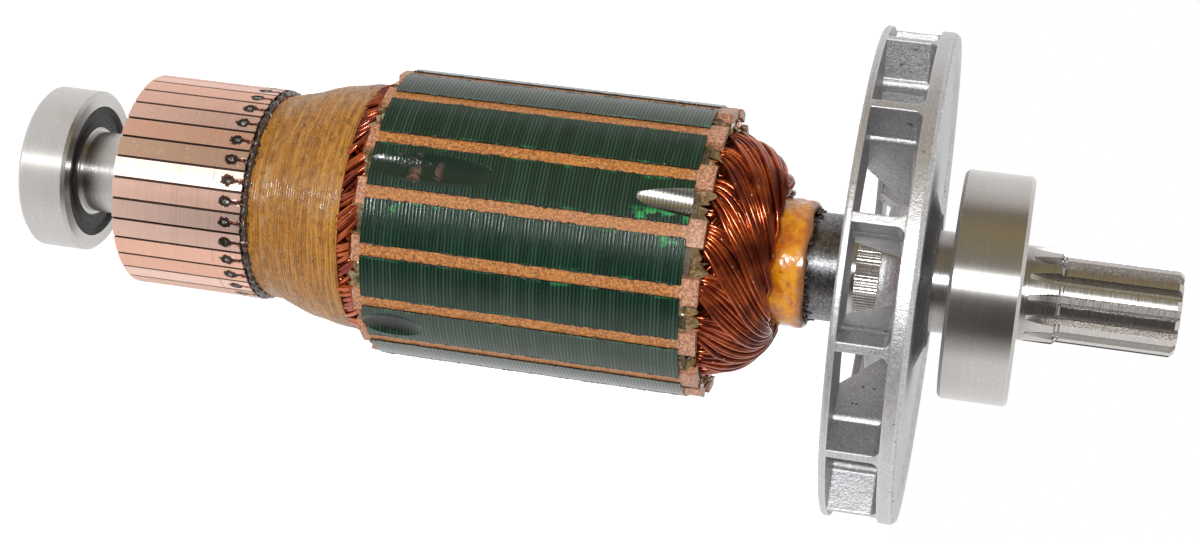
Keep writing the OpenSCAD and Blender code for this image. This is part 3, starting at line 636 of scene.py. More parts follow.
def core_finish():
    """Dark varnish over the edges of the sheets, bright green pools that are partly a painted highlight, painted
    shade in the slot mouths and on one side of the notch, and bare or thin varnish in the cuts.
    """
    settings = bpy.context.scene.armature_core
    varnish = tuple(settings.varnish)
    made, tree, to = finish("core varnish", varnish, IOR=1.5, Coat_Weight=0.25, Coat_Roughness=0.2)
    at = use(tree, round_the_shaft())
    angle, z, radius = at["Angle"], at["Height"], at["Radius"]
    turn = calc(tree, "DIVIDE", calc(tree, "SUBTRACT", angle, SLOT_ANGLE - TAU), SLOT_STEP)
    land = calc(tree, "MODULO", calc(tree, "FLOOR", turn), float(SLOTS))
    across = calc(tree, "SUBTRACT", calc(tree, "FRACT", turn), 0.5)     # -0.5 to 0.5 over a land
    edge = calc(tree, "ABSOLUTE", across)
    fine = use(tree, grain(), Size=0.3, Detail=3.0)["Value"]
    waver = use(tree, grain(), Size=9.0, Detail=2.0)["Value"]
    sheet = calc(tree, "DIVIDE", calc(tree, "ADD", z, calc(tree, "MULTIPLY", waver, 0.5)),
                 settings.sheet / MM)
    each = put(tree, "ShaderNodeTexWhiteNoise", {"W": calc(tree, "FLOOR", sheet)},
               noise_dimensions="1D").outputs["Value"]
    phase = calc(tree, "FRACT", sheet)
    crest = calc(tree, "SUBTRACT", 1.0, calc(tree, "ABSOLUTE", calc(tree, "SUBTRACT", calc(
        tree, "MULTIPLY", phase, 2.0), 1.0)))
    ridge = ramp(tree, crest, 0.15, 0.85)
    thick = use(tree, blotches(), Size=8.0, Cover=0.45, Softness=0.3)["Mask"]
    shown = calc(tree, "MULTIPLY", ridge, ramp(tree, thick, 0.0, 1.0, 1.0, 0.35))
    shown = calc(tree, "MULTIPLY", shown, ramp(tree, each, 0.0, 1.0, 0.55, 1.0))
    tone = blend(tree, shown, tuple(c * 0.22 for c in varnish), varnish)
    tone = blend(tree, ramp(tree, fine, 0.6, 0.85, 0.0, 0.4), tone, (0.05, 0.12, 0.08))
    # Bright green painted along one side of the lands beside the balance cuts and along the land edges: partly pooled
    # varnish, partly a painted highlight
    pool = use(tree, blotches(), Size=3.4, Cover=0.5, Softness=0.12)["Mask"]
    first_land = one_of(tree, land, NOTCH_LAND + 1)
    second_land = one_of(tree, land, NOTCH_LAND)
    along = calc(tree, "MAXIMUM",
                 ramp(tree, z, Z_CORE + 18, Z_CORE + 12, 0.0, 1.0), ramp(tree, z, Z_CORE_END - 11, Z_CORE_END - 7))
    streak = calc(tree, "MULTIPLY", calc(tree, "MULTIPLY", first_land, along),
                  calc(tree, "MULTIPLY", ramp(tree, across, -0.12, -0.22), ramp(tree, across, -0.41, -0.38)))
    under = calc(tree, "MULTIPLY", calc(tree, "MULTIPLY", second_land, ramp(
        tree, z, Z_CORE_END - 11, Z_CORE_END - 8)), ramp(tree, across, 0.14, 0.24))
    faint = calc(tree, "MULTIPLY", ramp(tree, calc(tree, "ADD", edge, calc(
        tree, "MULTIPLY", waver, 0.14)), 0.40, 0.46), 0.5)
    pools_and_highlight = calc(tree, "MULTIPLY", pool, calc(tree, "MAXIMUM", faint, calc(tree, "MAXIMUM", streak, under)))
    lit = ramp(tree, radius, R_CORE - 0.05, R_CORE - 0.02)
    pools_and_highlight = calc(tree, "MULTIPLY", pools_and_highlight, lit)
    tone = blend(tree, calc(tree, "MULTIPLY", pools_and_highlight, ramp(tree, shown, 0.0, 0.8, 0.55, 1.0)), tone,
                 (0.03, 0.40, 0.10))
    # Painted shade: near black on the walls of each slot's mouth, below the faces of the lands
    mouth_shade = calc(tree, "MAXIMUM", ramp(tree, calc(tree, "ADD", edge, calc(tree, "MULTIPLY", fine, 0.03)),
                                        0.385, 0.40), ramp(tree, radius, 25.3, 25.7, 1.0, 0.0))
    tone = blend(tree, calc(tree, "MULTIPLY", mouth_shade, 0.85), tone, (0.004, 0.006, 0.006))
    # Bare steel in the milled notch, with painted shade in dark green over one side of it; thin varnish in the long
    # scoop
    below = calc(tree, "MULTIPLY", second_land, ramp(tree, radius, R_CORE - 0.03, R_CORE - 0.12))
    below = calc(tree, "MULTIPLY", below, ramp(tree, edge, 0.385, 0.375))
    bare = calc(tree, "MULTIPLY", below, ramp(tree, calc(
        tree, "ADD", z, calc(tree, "MULTIPLY", fine, 0.8)), Z_CORE_END - 9.6, Z_CORE_END - 8.8))
    notch_steel_and_shade = blend(tree, ramp(tree, ridge, 0.1, 0.7), (0.40, 0.39, 0.37), (0.62, 0.60, 0.57))
    # Painted shade: the bare notch turns dark green towards one side
    notch_steel_and_shade = blend(tree, ramp(tree, calc(tree, "ADD", across, calc(tree, "MULTIPLY", fine, 0.12)), 0.10, 0.26),
                 notch_steel_and_shade, (0.035, 0.05, 0.03))
    scoop = calc(tree, "MULTIPLY", below, ramp(tree, z, Z_CORE + 30, Z_CORE + 28))
    patch = use(tree, blotches(), Size=3.6, Cover=0.45, Softness=0.1)["Mask"]
    patch = calc(tree, "MULTIPLY", patch, calc(tree, "MULTIPLY", ramp(tree, z, Z_CORE + 4, Z_CORE + 6),
                                               ramp(tree, z, Z_CORE + 13, Z_CORE + 11)))
    tone = blend(tree, calc(tree, "MULTIPLY", scoop, 0.75), tone, (0.012, 0.028, 0.018))
    tone = blend(tree, calc(tree, "MULTIPLY", scoop, calc(tree, "MULTIPLY", patch, 0.7)), tone,
                 (0.26, 0.13, 0.11))
    feed(tree, to["Base Color"], blend(tree, bare, tone, notch_steel_and_shade))
    feed(tree, to["Metallic"], bare)
    feed(tree, to["Coat Weight"], ramp(tree, bare, 0.0, 1.0, 0.25, 0.0))
    rough = calc(tree, "ADD", ramp(tree, fine, 0.3, 0.7, 0.16, 0.26), calc(tree, "MULTIPLY", scoop, -0.04))
    feed(tree, to["Roughness"], calc(tree, "ADD", rough, calc(tree, "MULTIPLY", bare, 0.12)))
    wrinkle = use(tree, grain(), Size=1.6, Detail=2.0)["Value"]
    rise = calc(tree, "MULTIPLY", shown, ramp(tree, calc(tree, "MAXIMUM", scoop, bare), 0.0, 1.0, 1.0, 0.12))
    rise = calc(tree, "ADD", rise, calc(tree, "MULTIPLY", pools_and_highlight, 0.4))
    rise = calc(tree, "ADD", rise, calc(tree, "MULTIPLY", calc(tree, "MULTIPLY", wrinkle, scoop), 1.6))
    rise = calc(tree, "ADD", rise, calc(tree, "MULTIPLY", fine, 0.25))
    feed(tree, to["Normal"], bump(tree, rise, 0.085))
    return made


def crust_finish():
    """Dried drops of dark varnish along the slots."""
    made, tree, to = finish("varnish crust", (0.01, 0.014, 0.012), Coat_Weight=1.0, Coat_Roughness=0.1)
    fine = use(tree, grain(), Size=0.8, Detail=3.0)["Value"]
    feed(tree, to["Base Color"], blend(tree, ramp(tree, fine, 0.35, 0.7), (0.005, 0.007, 0.008),
                                       (0.02, 0.045, 0.03)))
    feed(tree, to["Roughness"], ramp(tree, fine, 0.3, 0.7, 0.2, 0.4))
    feed(tree, to["Normal"], bump(tree, fine, 0.05))
    return made


def wedge_finish():
    """Fibre strip with coarse grain and dried varnish; its bare ends are pinker."""
    made, tree, to = finish("wedge fibre", (0.50, 0.22, 0.10), Coat_Weight=0.35, Coat_Roughness=0.25)
    at = use(tree, round_the_shaft())
    z = at["Height"]
    fine = use(tree, grain(), Size=0.42, Detail=3.0)["Value"]
    flecks_and_glints = use(tree, specks(), Size=0.36, Cover=0.5)["Mask"]
    broad = use(tree, blotches(), Size=9.0, Cover=0.5, Softness=0.3)["Mask"]
    streaks = use(tree, turning_marks(), Pitch=0.35)["Value"]
    ragged = calc(tree, "ADD", z, calc(tree, "MULTIPLY", fine, 2.0))
    out = calc(tree, "MAXIMUM", ramp(tree, ragged, Z_CORE_END - 1.5, Z_CORE_END + 2.5),
               ramp(tree, ragged, Z_CORE + 2.0, Z_CORE - 0.5))
    tone = blend(tree, ramp(tree, fine, 0.36, 0.66), (0.28, 0.085, 0.012), (0.66, 0.27, 0.065))
    tone = blend(tree, calc(tree, "MULTIPLY", broad, 0.6), tone, (0.60, 0.24, 0.02))
    tone = blend(tree, calc(tree, "MULTIPLY", flecks_and_glints, 0.45), tone, (0.82, 0.50, 0.30))
    pale = blend(tree, ramp(tree, fine, 0.40, 0.62), (0.36, 0.15, 0.09), (0.72, 0.42, 0.29))
    pale = blend(tree, ramp(tree, streaks, 0.36, 0.5, 0.5, 0.0), pale, (0.20, 0.07, 0.03))
    feed(tree, to["Base Color"], blend(tree, calc(tree, "MULTIPLY", out, 0.75), tone, pale))
    feed(tree, to["Roughness"], ramp(tree, fine, 0.3, 0.7, 0.36, 0.6))
    feed(tree, to["Normal"], bump(tree, calc(tree, "ADD", fine, calc(tree, "MULTIPLY", flecks_and_glints, 0.5)), 0.13))
    return made


def paper_finish():
    """Varnished slot paper, tan to olive and creased."""
    made, tree, to = finish("liner paper", (0.22, 0.14, 0.05), Coat_Weight=1.0, Coat_Roughness=0.08)
    fine = use(tree, grain(), Size=0.6, Detail=4.0)["Value"]
    broad = use(tree, blotches(), Size=2.6, Cover=0.5, Softness=0.2)["Mask"]
    dark = use(tree, blotches(), Size=4.5, Cover=0.4, Softness=0.2)["Mask"]
    tone = blend(tree, ramp(tree, fine, 0.35, 0.7), (0.13, 0.075, 0.028), (0.38, 0.27, 0.12))
    tone = blend(tree, calc(tree, "MULTIPLY", broad, 0.5), tone, (0.40, 0.20, 0.05))
    feed(tree, to["Base Color"], blend(tree, calc(tree, "MULTIPLY", dark, 0.75), tone, (0.05, 0.035, 0.018)))
    feed(tree, to["Roughness"], ramp(tree, fine, 0.3, 0.7, 0.28, 0.45))
    feed(tree, to["Normal"], bump(tree, fine, 0.12))
    return made


def wire_finish():
    """Copper seen through red-brown enamel and a coat of baking varnish."""
    made, tree, to = finish("enamelled wire", (0.34, 0.06, 0.02), Metallic=0.85, Coat_Weight=0.5,
                            Coat_Roughness=0.12, Coat_IOR=1.5)
    soft = use(tree, grain(), Size=5.0, Detail=2.0)["Value"]
    burnt = use(tree, blotches(), Size=7.0, Cover=0.5, Softness=0.25)["Mask"]
    runs = use(tree, blotches(), Size=1.6, Cover=0.12, Softness=0.08)["Mask"]
    drop = use(tree, specks(), Size=0.7, Cover=0.05)["Mask"]
    tone = blend(tree, ramp(tree, soft, 0.35, 0.65), (0.26, 0.034, 0.012), (0.60, 0.125, 0.026))
    tone = blend(tree, calc(tree, "MULTIPLY", burnt, 0.6), tone, (0.11, 0.016, 0.012))
    tone = blend(tree, calc(tree, "MULTIPLY", runs, 0.5), tone, (0.05, 0.012, 0.012))
    feed(tree, to["Base Color"], blend(tree, calc(tree, "MULTIPLY", drop, 0.6), tone, (0.85, 0.70, 0.60)))
    feed(tree, to["Roughness"], ramp(tree, soft, 0.3, 0.7, 0.18, 0.28))
    height = calc(tree, "ADD", use(tree, grain(), Size=1.4, Detail=1.0)["Value"], drop)
    feed(tree, to["Normal"], bump(tree, height, 0.03))
    return made


def cord_finish():
    """Varnish soaked into cord: each turn has its own tone, with dark stains and many small glints."""
    colour = tuple(bpy.context.scene.armature_band.colour)
    made, tree, to = finish("varnished cord", colour, Coat_Weight=0.3, Coat_Roughness=0.12)
    at = use(tree, round_the_shaft())
    fine = use(tree, grain(), Size=0.4, Detail=3.0)["Value"]
    soft = use(tree, grain(), Size=2.6, Detail=3.0)["Value"]
    stain = use(tree, blotches(), Size=2.6, Cover=0.42, Softness=0.14)["Mask"]
    char = use(tree, blotches(), Size=1.1, Cover=0.22, Softness=0.10)["Mask"]
    glint = use(tree, specks(), Size=0.34, Cover=0.16)["Mask"]
    strand = use(tree, turning_marks(), Pitch=0.42, Waver=3.0)["Value"]
    tone = blend(tree, ramp(tree, soft, 0.3, 0.7), tuple(c * 0.55 for c in colour), colour)
    tone = blend(tree, ramp(tree, strand, 0.44, 0.66, 0.0, 0.7), tone, (0.64, 0.31, 0.045))
    tone = blend(tree, ramp(tree, strand, 0.42, 0.30, 0.0, 0.7), tone, (0.20, 0.065, 0.012))
    tone = blend(tree, calc(tree, "MULTIPLY", stain, 0.55), tone, (0.16, 0.065, 0.018))
    tone = blend(tree, calc(tree, "MULTIPLY", char, 0.55), tone, (0.045, 0.025, 0.014))
    waist = ramp(tree, calc(tree, "ABSOLUTE", calc(tree, "SUBTRACT", at["Height"], Z_BAND + 3.4)),
                 0.2, 0.9, 1.0, 0.0)
    ragged = ramp(tree, soft, 0.45, 0.62)
    tone = blend(tree, calc(tree, "MULTIPLY", calc(tree, "MULTIPLY", waist, ragged), 0.35), tone,
                 (0.62, 0.48, 0.30))
    tone = blend(tree, calc(tree, "MULTIPLY", glint, 0.55), tone, (0.92, 0.84, 0.62))
    feed(tree, to["Base Color"], tone)
    feed(tree, to["Roughness"], ramp(tree, fine, 0.3, 0.7, 0.24, 0.42))
    height = calc(tree, "ADD", calc(tree, "ADD", fine, strand), calc(tree, "MULTIPLY", glint, 1.2))
    feed(tree, to["Normal"], bump(tree, height, 0.07))
    return made


def amber_finish():
    """Orange insulating sleeve under runs of clear brown varnish."""
    made, tree, to = finish("amber tube", (0.80, 0.30, 0.006), Coat_Weight=0.7, Coat_Roughness=0.06)
    soft = use(tree, grain(), Size=3.0, Detail=3.0)["Value"]
    stain = use(tree, blotches(), Size=2.2, Cover=0.35, Softness=0.12)["Mask"]
    fine = use(tree, grain(), Size=0.5, Detail=3.0)["Value"]
    at = use(tree, round_the_shaft())
    end = ramp(tree, calc(tree, "ADD", at["Height"], calc(tree, "MULTIPLY", soft, 2.0)),
               Z_TUBE_END - 0.3, Z_TUBE_END + 1.0)
    tone = blend(tree, ramp(tree, soft, 0.32, 0.66), (0.56, 0.14, 0.005), (0.86, 0.36, 0.010))
    tone = blend(tree, calc(tree, "MULTIPLY", stain, 0.6), tone, (0.36, 0.075, 0.008))
    feed(tree, to["Base Color"], blend(tree, end, tone, (0.30, 0.12, 0.04)))
    feed(tree, to["Roughness"], ramp(tree, fine, 0.3, 0.7, 0.22, 0.42))
    feed(tree, to["Normal"], bump(tree, soft, 0.2))
    return made


def burnt_finish():
    made, tree, to = finish("burnt varnish", (0.025, 0.014, 0.010), Coat_Weight=0.8, Coat_Roughness=0.15)
    fine = use(tree, grain(), Size=0.5, Detail=4.0)["Value"]
    glow = use(tree, blotches(), Size=1.2, Cover=0.3, Softness=0.1)["Mask"]
    tone = blend(tree, ramp(tree, fine, 0.35, 0.7), (0.012, 0.008, 0.007), (0.07, 0.04, 0.028))
    feed(tree, to["Base Color"], blend(tree, calc(tree, "MULTIPLY", glow, 0.6), tone, (0.22, 0.07, 0.02)))
    feed(tree, to["Roughness"], ramp(tree, fine, 0.3, 0.7, 0.25, 0.5))
    feed(tree, to["Normal"], bump(tree, fine, 0.12))
    return made


def lead_finish():
    """Wire ends staked into the bars: dull copper with solder-bright spots."""
    made, tree, to = finish("bare wire", (0.45, 0.20, 0.12), Metallic=1.0)
    fine = use(tree, grain(), Size=0.5, Detail=4.0)["Value"]
    bright = use(tree, blotches(), Size=0.9, Cover=0.4, Softness=0.08)["Mask"]
    tone = blend(tree, ramp(tree, fine, 0.4, 0.66), (0.09, 0.045, 0.03), (0.50, 0.22, 0.12))
    feed(tree, to["Base Color"], blend(tree, calc(tree, "MULTIPLY", bright, 0.7), tone, (0.78, 0.66, 0.58)))
    feed(tree, to["Roughness"], ramp(tree, fine, 0.3, 0.7, 0.2, 0.42))
    feed(tree, to["Normal"], bump(tree, fine, 0.1))
    return made


def stake_finish():
    """Grey-green skin over the staked wire ends, with bright glints."""
    made, tree, to = finish("staked wire ends", (0.12, 0.13, 0.10), Metallic=0.6, Coat_Weight=1.0,
                            Coat_Roughness=0.08)
    fine = use(tree, grain(), Size=0.5, Detail=3.0)["Value"]
    bright = use(tree, blotches(), Size=0.7, Cover=0.4, Softness=0.1)["Mask"]
    tone = blend(tree, ramp(tree, fine, 0.35, 0.7), (0.06, 0.06, 0.045), (0.30, 0.30, 0.25))
    feed(tree, to["Base Color"], blend(tree, calc(tree, "MULTIPLY", bright, 0.4), tone, (0.60, 0.58, 0.52)))
    feed(tree, to["Roughness"], ramp(tree, fine, 0.3, 0.7, 0.2, 0.4))
    feed(tree, to["Normal"], bump(tree, fine, 0.12))
    return made


def casting_finish():
    """Tumbled die casting: sandy faces, smoother bright edges, grey stains."""
    colour = tuple(bpy.context.scene.armature_metals.casting)
    made, tree, to = finish("cast aluminium", colour, Metallic=0.85)
    fine = use(tree, grain(), Size=0.34, Detail=3.0)["Value"]
    coarse = use(tree, grain(), Size=2.6, Detail=4.0)["Value"]
    stain = use(tree, blotches(), Size=7.0, Cover=0.45, Softness=0.25)["Mask"]
    flecks_and_glints = use(tree, specks(), Size=0.36, Cover=0.25)["Mask"]
    pit = use(tree, specks(), Size=0.9, Cover=0.05)["Mask"]
    wear = use(tree, edge_wear(), Width=0.6)["Mask"]
    at = use(tree, round_the_shaft())
    rim = ramp(tree, at["Radius"], 42.7, 42.95)
    boss = calc(tree, "MULTIPLY", ramp(tree, at["Height"], Z_FAN_BACK - 1.2, Z_FAN_BACK - 0.4),
                ramp(tree, at["Radius"], 20.0, 19.0))
    tone = blend(tree, ramp(tree, fine, 0.34, 0.68), tuple(c * 0.66 for c in colour), colour)
    tone = blend(tree, ramp(tree, coarse, 0.45, 0.8, 0.0, 0.5), tone, tuple(c * 0.6 for c in colour))
    tone = blend(tree, calc(tree, "MULTIPLY", stain, 0.3), tone, tuple(c * 0.5 for c in colour))
    # Painted glints: small near-white dots over the sandy faces
    tone = blend(tree, calc(tree, "MULTIPLY", flecks_and_glints, 0.5), tone, (0.90, 0.90, 0.92))
    tone = blend(tree, calc(tree, "MULTIPLY", pit, 0.8), tone, (0.08, 0.08, 0.09))
    bright = calc(tree, "MAXIMUM", wear, calc(tree, "MULTIPLY", rim, 0.35))
    feed(tree, to["Base Color"], blend(tree, calc(tree, "MULTIPLY", bright, 0.8), tone, (0.88, 0.88, 0.90)))
    feed(tree, to["Roughness"], calc(tree, "SUBTRACT", ramp(tree, fine, 0.3, 0.7, 0.40, 0.52),
                                     calc(tree, "MULTIPLY", bright, 0.12)))
    height = calc(tree, "MULTIPLY", fine, ramp(tree, bright, 0.0, 1.0, 1.0, 0.35))
    height = calc(tree, "ADD", height, calc(tree, "MULTIPLY", coarse, 1.2))
    height = calc(tree, "ADD", height, calc(tree, "MULTIPLY", calc(tree, "MULTIPLY", fine, boss), 2.5))
    round_edge = put(tree, "ShaderNodeBevel", {"Radius": 0.45 * MM}, samples=6).outputs[0]
    feed(tree, to["Normal"], bump(tree, height, 0.075, under=round_edge))
    return made


def dress(nodes, made):
    """Gives solids of the frame their finish."""
    for name in nodes:
        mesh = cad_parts[name].data
        mesh.materials.clear()
        mesh.materials.append(made)


# ---- Operators ----

class Maker(bpy.types.Operator):
    bl_options = {"REGISTER", "UNDO"}

    def execute(self, context):
        self.make(context)
        return {"FINISHED"}


class ARMATURE_OT_shaft(Maker):
    """Finishes the shaft and adds the knurl under the fan"""
    bl_idname = "armature.shaft"
    bl_label = "Shaft"

    def make(self, context):
        made = shaft_finish()
        dress(["shaft"], made)
        teeth, rows = 96, 4
        angle = np.arange(teeth * 4) * TAU / (teeth * 4)
        ridge = np.array([0.0, 0.06, 0.09, 0.06])[np.arange(teeth * 4) % 4]
        z = np.linspace(Z_FAN + 0.4, Z_FAN + 4.7, rows)
        outer = polar(R_FAN_SEAT + 0.03 + ridge[None], angle[None], z[:, None])
        inner = polar(np.full((rows, teeth * 4), R_FAN_SEAT - 0.3), angle[None], z[::-1, None])
        points, quads = loft(np.concatenate([outer, inner]))
        build("fan_seat_knurl", points, quads, made, smooth=False)


class ARMATURE_OT_bearings(Maker):
    """Finishes both ball bearings"""
    bl_idname = "armature.bearings"
    bl_label = "Bearings"

    def make(self, context):
        steel = tuple(context.scene.armature_metals.steel)
        race = steel_finish("bearing steel", steel)
        balls = steel_finish("ball steel", (0.72, 0.71, 0.70), rough=0.08, marks=0.3, depth=0.0002)
        rubber = rubber_finish()
        cage = plain_finish("cage plastic", (0.50, 0.44, 0.30), (0.68, 0.62, 0.46), 0.6, depth=0.02)
        for end in ("comm", "drive"):
            dress([f"{end}_bearing_inner_ring", f"{end}_bearing_outer_ring"], race)
            dress([f"{end}_bearing_balls"], balls)
            dress([f"{end}_bearing_seal_outside", f"{end}_bearing_seal_inside"], rubber)
            dress([f"{end}_bearing_cage"], cage)


class ARMATURE_OT_commutator(Maker):
    """Finishes the commutator and builds the staked wires behind its bars"""
    bl_idname = "armature.commutator"
    bl_label = "Commutator"

    def make(self, context):
        dress(BAR_NODES, copper_finish())
        wire_finish()
        dress(["commutator_mica"], plain_finish(
            "mica", (0.022, 0.009, 0.006), (0.075, 0.030, 0.020), 0.5, (0.5, 0.7), 0.05))
        dress(["commutator_hub"], plain_finish(
            "hub moulding", (0.05, 0.025, 0.015), (0.12, 0.06, 0.035), 0.8, (0.35, 0.5), 0.03))
        self.leads()
        self.lips()
        self.stakes()
        self.ring()

    def leads(self):
        """Two wires in each bar's slot, running back under the cord band."""
        rng = np.random.default_rng(11)
        steps = np.linspace(0, 1, 12)
        paths = []
        for k in range(1, BARS + 1):
            for level in range(2):
                start = Z_COMM_END - rng.uniform(2.6, 3.1)
                z = start + (Z_COMM_END + 1.4 - start) * steps
                sink = rng.uniform(0.50, 0.62) + level * 0.72
                r = R_COMM - sink - 1.0 * np.clip((z - Z_COMM_END) / 1.4, 0, 1) ** 1.5
                swing = math.radians(rng.uniform(-2.2, 2.2)) * np.clip((z - Z_COMM_END + 0.8) / 2, 0, 1)
                lie = rng.uniform(-0.12, 0.12) / R_COMM
                paths.append(polar(r, bar_centre(k) + lie + swing, z))
        paths = np.array(paths)
        points, faces = tubes(paths, unit(paths * [1, 1, 0]), 0.37, 10)
        piece = build("bar_lead_wires", points, faces, lead_finish())
        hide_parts("bar_leads")

    def lips(self):
        """Copper of each bar driven over the wires in its slot."""
        rows, half = 10, RISER_W / 2 - 0.02
        rings = []
        for k in range(1, BARS + 1):
            side = np.array([-1, -0.5, 0, 0.5, 1, 1, 0.5, 0, -0.5, -1]) * half / R_COMM
            r = np.array([R_COMM - 0.03] * 5 + [R_COMM - 0.42] * 5)
            z = np.linspace(Z_STAKE - 0.3, Z_COMM_END - 0.02, rows)[:, None]
            ripples = 0.05 * np.sin(z * 3.1 + k * 2.2) * (np.abs(side) < half / R_COMM)
            rings.append(polar(r - 0.03 + ripples, bar_centre(k) + side, z))
        parts = []
        for ring in rings:
            points, quads = loft(ring, closed=False)
            count = ring.shape[1]
            ends = np.array([np.arange(count), np.arange(count)[::-1] + (rows - 1) * count])
            parts.append((points, [quads[:, ::-1], ends]))
        points, faces = joined(parts)
        build("driven_lips", points, faces, bpy.data.materials["bar copper"], smooth=False)

    def stakes(self):
        """Wire ends, burrs and charred crumbs where each bar is staked."""
        rng = np.random.default_rng(12)
        dark, dark_size, bright, bright_size, ends, end_size = [], [], [], [], [], []
        for k in range(1, BARS + 1):
            middle = bar_centre(k)
            centre = Z_STAKE + rng.uniform(-0.15, 0.15)
            ends.append(polar(R_COMM - 0.16, middle + rng.uniform(-0.15, 0.15) / R_COMM, centre))
            end_size.append((rng.uniform(0.42, 0.66), rng.uniform(0.6, 0.85), rng.uniform(0.14, 0.2)))
            for _ in range(9):
                turn = rng.uniform(0, TAU)
                dark.append(polar(R_COMM - 0.03, middle + STAKE_WIDE * 0.9 * math.cos(turn) / R_COMM,
                                  centre + STAKE_LONG * 0.95 * math.sin(turn)))
                dark_size.append((rng.uniform(0.1, 0.2), rng.uniform(0.12, 0.34), rng.uniform(0.05, 0.12)))
            for _ in range(4):
                dark.append(polar(R_COMM - 0.03, middle + rng.uniform(-0.5, 0.5) / R_COMM,
                                  Z_COMM_END - rng.uniform(0.0, 0.8)))
                dark_size.append((rng.uniform(0.12, 0.3), rng.uniform(0.12, 0.3), rng.uniform(0.06, 0.16)))
            for _ in range(3):
                z = Z_COMM_END - rng.uniform(0.2, 1.9)
                bright.append(polar(R_COMM - 0.04, middle + rng.uniform(-0.3, 0.3) / R_COMM, z))
                bright_size.append((rng.uniform(0.08, 0.18), rng.uniform(0.25, 0.5), rng.uniform(0.06, 0.12)))
        points, faces = lumps(dark, dark_size, 13, detail=1)
        build("slot_char", points, faces, burnt_finish())
        points, faces = lumps(ends, end_size, 14, rough=0.2)
        build("staked_wire_ends", points, faces, stake_finish())
        points, faces = lumps(bright, bright_size, 15, detail=1)
        build("seam_wire_bits", points, faces, bpy.data.materials["enamelled wire"])

    def ring(self):
        """Burnt varnish in the gap between the bars and the cord band."""
        around, section = 420, 12
        angle = np.arange(around) * TAU / around
        turn = np.arange(section) * TAU / section
        a, t = np.meshgrid(angle, turn, indexing="ij")
        size = 0.72 + 0.22 * ripple(21, 9, 60, 0, a, 0 * a) + 0.13 * ripple(22, 9, 130, 2.0, a, t)
        r = R_COMM - 0.85 + size * np.cos(t)
        z = Z_COMM_END + 0.42 + size * 0.8 * np.sin(t)
        points, quads = loft(polar(r, a, z))
        build("burnt_varnish_ring", points, quads, bpy.data.materials["burnt varnish"])


class ARMATURE_OT_core(Maker):
    """Finishes the lamination stack and its end insulators"""
    bl_idname = "armature.core"
    bl_label = "Core"

    def make(self, context):
        dress(["core"], core_finish())
        dress(["end_insulator_comm_end", "end_insulator_fan_end"], plain_finish(
            "fibre plate", (0.05, 0.035, 0.018), (0.15, 0.11, 0.05), 0.6, (0.35, 0.5), 0.08))
        rng = np.random.default_rng(81)
        places, sizes = [], []
        for k in range(SLOTS):
            for side in (-1, 1):
                z = Z_CORE + 0.3
                while z < Z_CORE_END - 0.4:
                    size = rng.uniform(0.12, 0.34)
                    lie = side * (MOUTH_W / 2 + rng.uniform(-0.12, 0.16)) / R_CORE
                    places.append(polar(R_CORE - 0.04, SLOT_ANGLE + k * SLOT_STEP + lie, z))
                    sizes.append((size * rng.uniform(0.5, 0.9), size * rng.uniform(0.9, 2.2), size * 0.45))
                    z += size * 2 * rng.uniform(0.7, 1.8) * (1 if rng.random() < 0.8 else 4)
        points, faces = lumps(places, sizes, 82, detail=1)
        build("slot_edge_crust", points, faces, crust_finish())


class ARMATURE_OT_slot_insulation(Maker):
    """Finishes liners and wedges and builds the creased paper cuffs at both ends of the stack"""
    bl_idname = "armature.slot_insulation"
    bl_label = "Slot insulation"

    def make(self, context):
        paper = paper_finish()
        dress(["slot_liners"], paper)
        dress(["slot_wedges"], wedge_finish())
        rng = np.random.default_rng(31)
        parts = []
        for end, face in ((-1, Z_CORE), (1, Z_CORE_END)):
            for k in range(SLOTS):
                middle = SLOT_ANGLE + k * SLOT_STEP
                for side in (-1, 1):
                    parts.append(self.cuff(rng, middle, side, end, face))
        points, faces = joined(parts)
        build("liner_cuffs", points, faces, paper, smooth=False)

    def cuff(self, rng, middle, side, end, face):
        """One folded flap beside a wedge; side is the way it lies around the shaft."""
        rows, columns = 9, 9
        u = np.linspace(0, 1, columns)[None]
        v = np.linspace(0, 1, rows)[:, None]
        reach_out = rng.uniform(2.2, 3.6) * (1 - rng.uniform(0.0, 0.35) * u) * (
            1 + 0.16 * np.sin(u * rng.uniform(4, 9) + rng.uniform(0, TAU)))
        if end < 0:
            reach_out = reach_out * 0.75
        start = rng.uniform(1.9, 2.3)
        width = rng.uniform(2.2, 3.2)
        arc = start + width * u * (1 - 0.2 * v * rng.uniform(0, 1))
        crease = 0.25 * np.sin(5 * u + 5 * v * rng.uniform(0.3, 1.2) + rng.uniform(0, TAU))
        fold = 0.5 * np.abs(u - rng.uniform(0.3, 0.7)) * 2 - 0.4
        curl = rng.uniform(-2.4, -0.3) * v ** 2
        r = 24.9 + rng.uniform(-0.4, 0.3) + crease + fold + curl + 0.06 * rng.normal(size=(rows, columns))
        z = face + end * (reach_out * v - 0.1)
        top = polar(np.minimum(r, R_CORE - 0.15), middle + side * arc / 24.6, z)
        out = unit(top * [1, 1, 0])
        return shell(top, -out, 0.3)


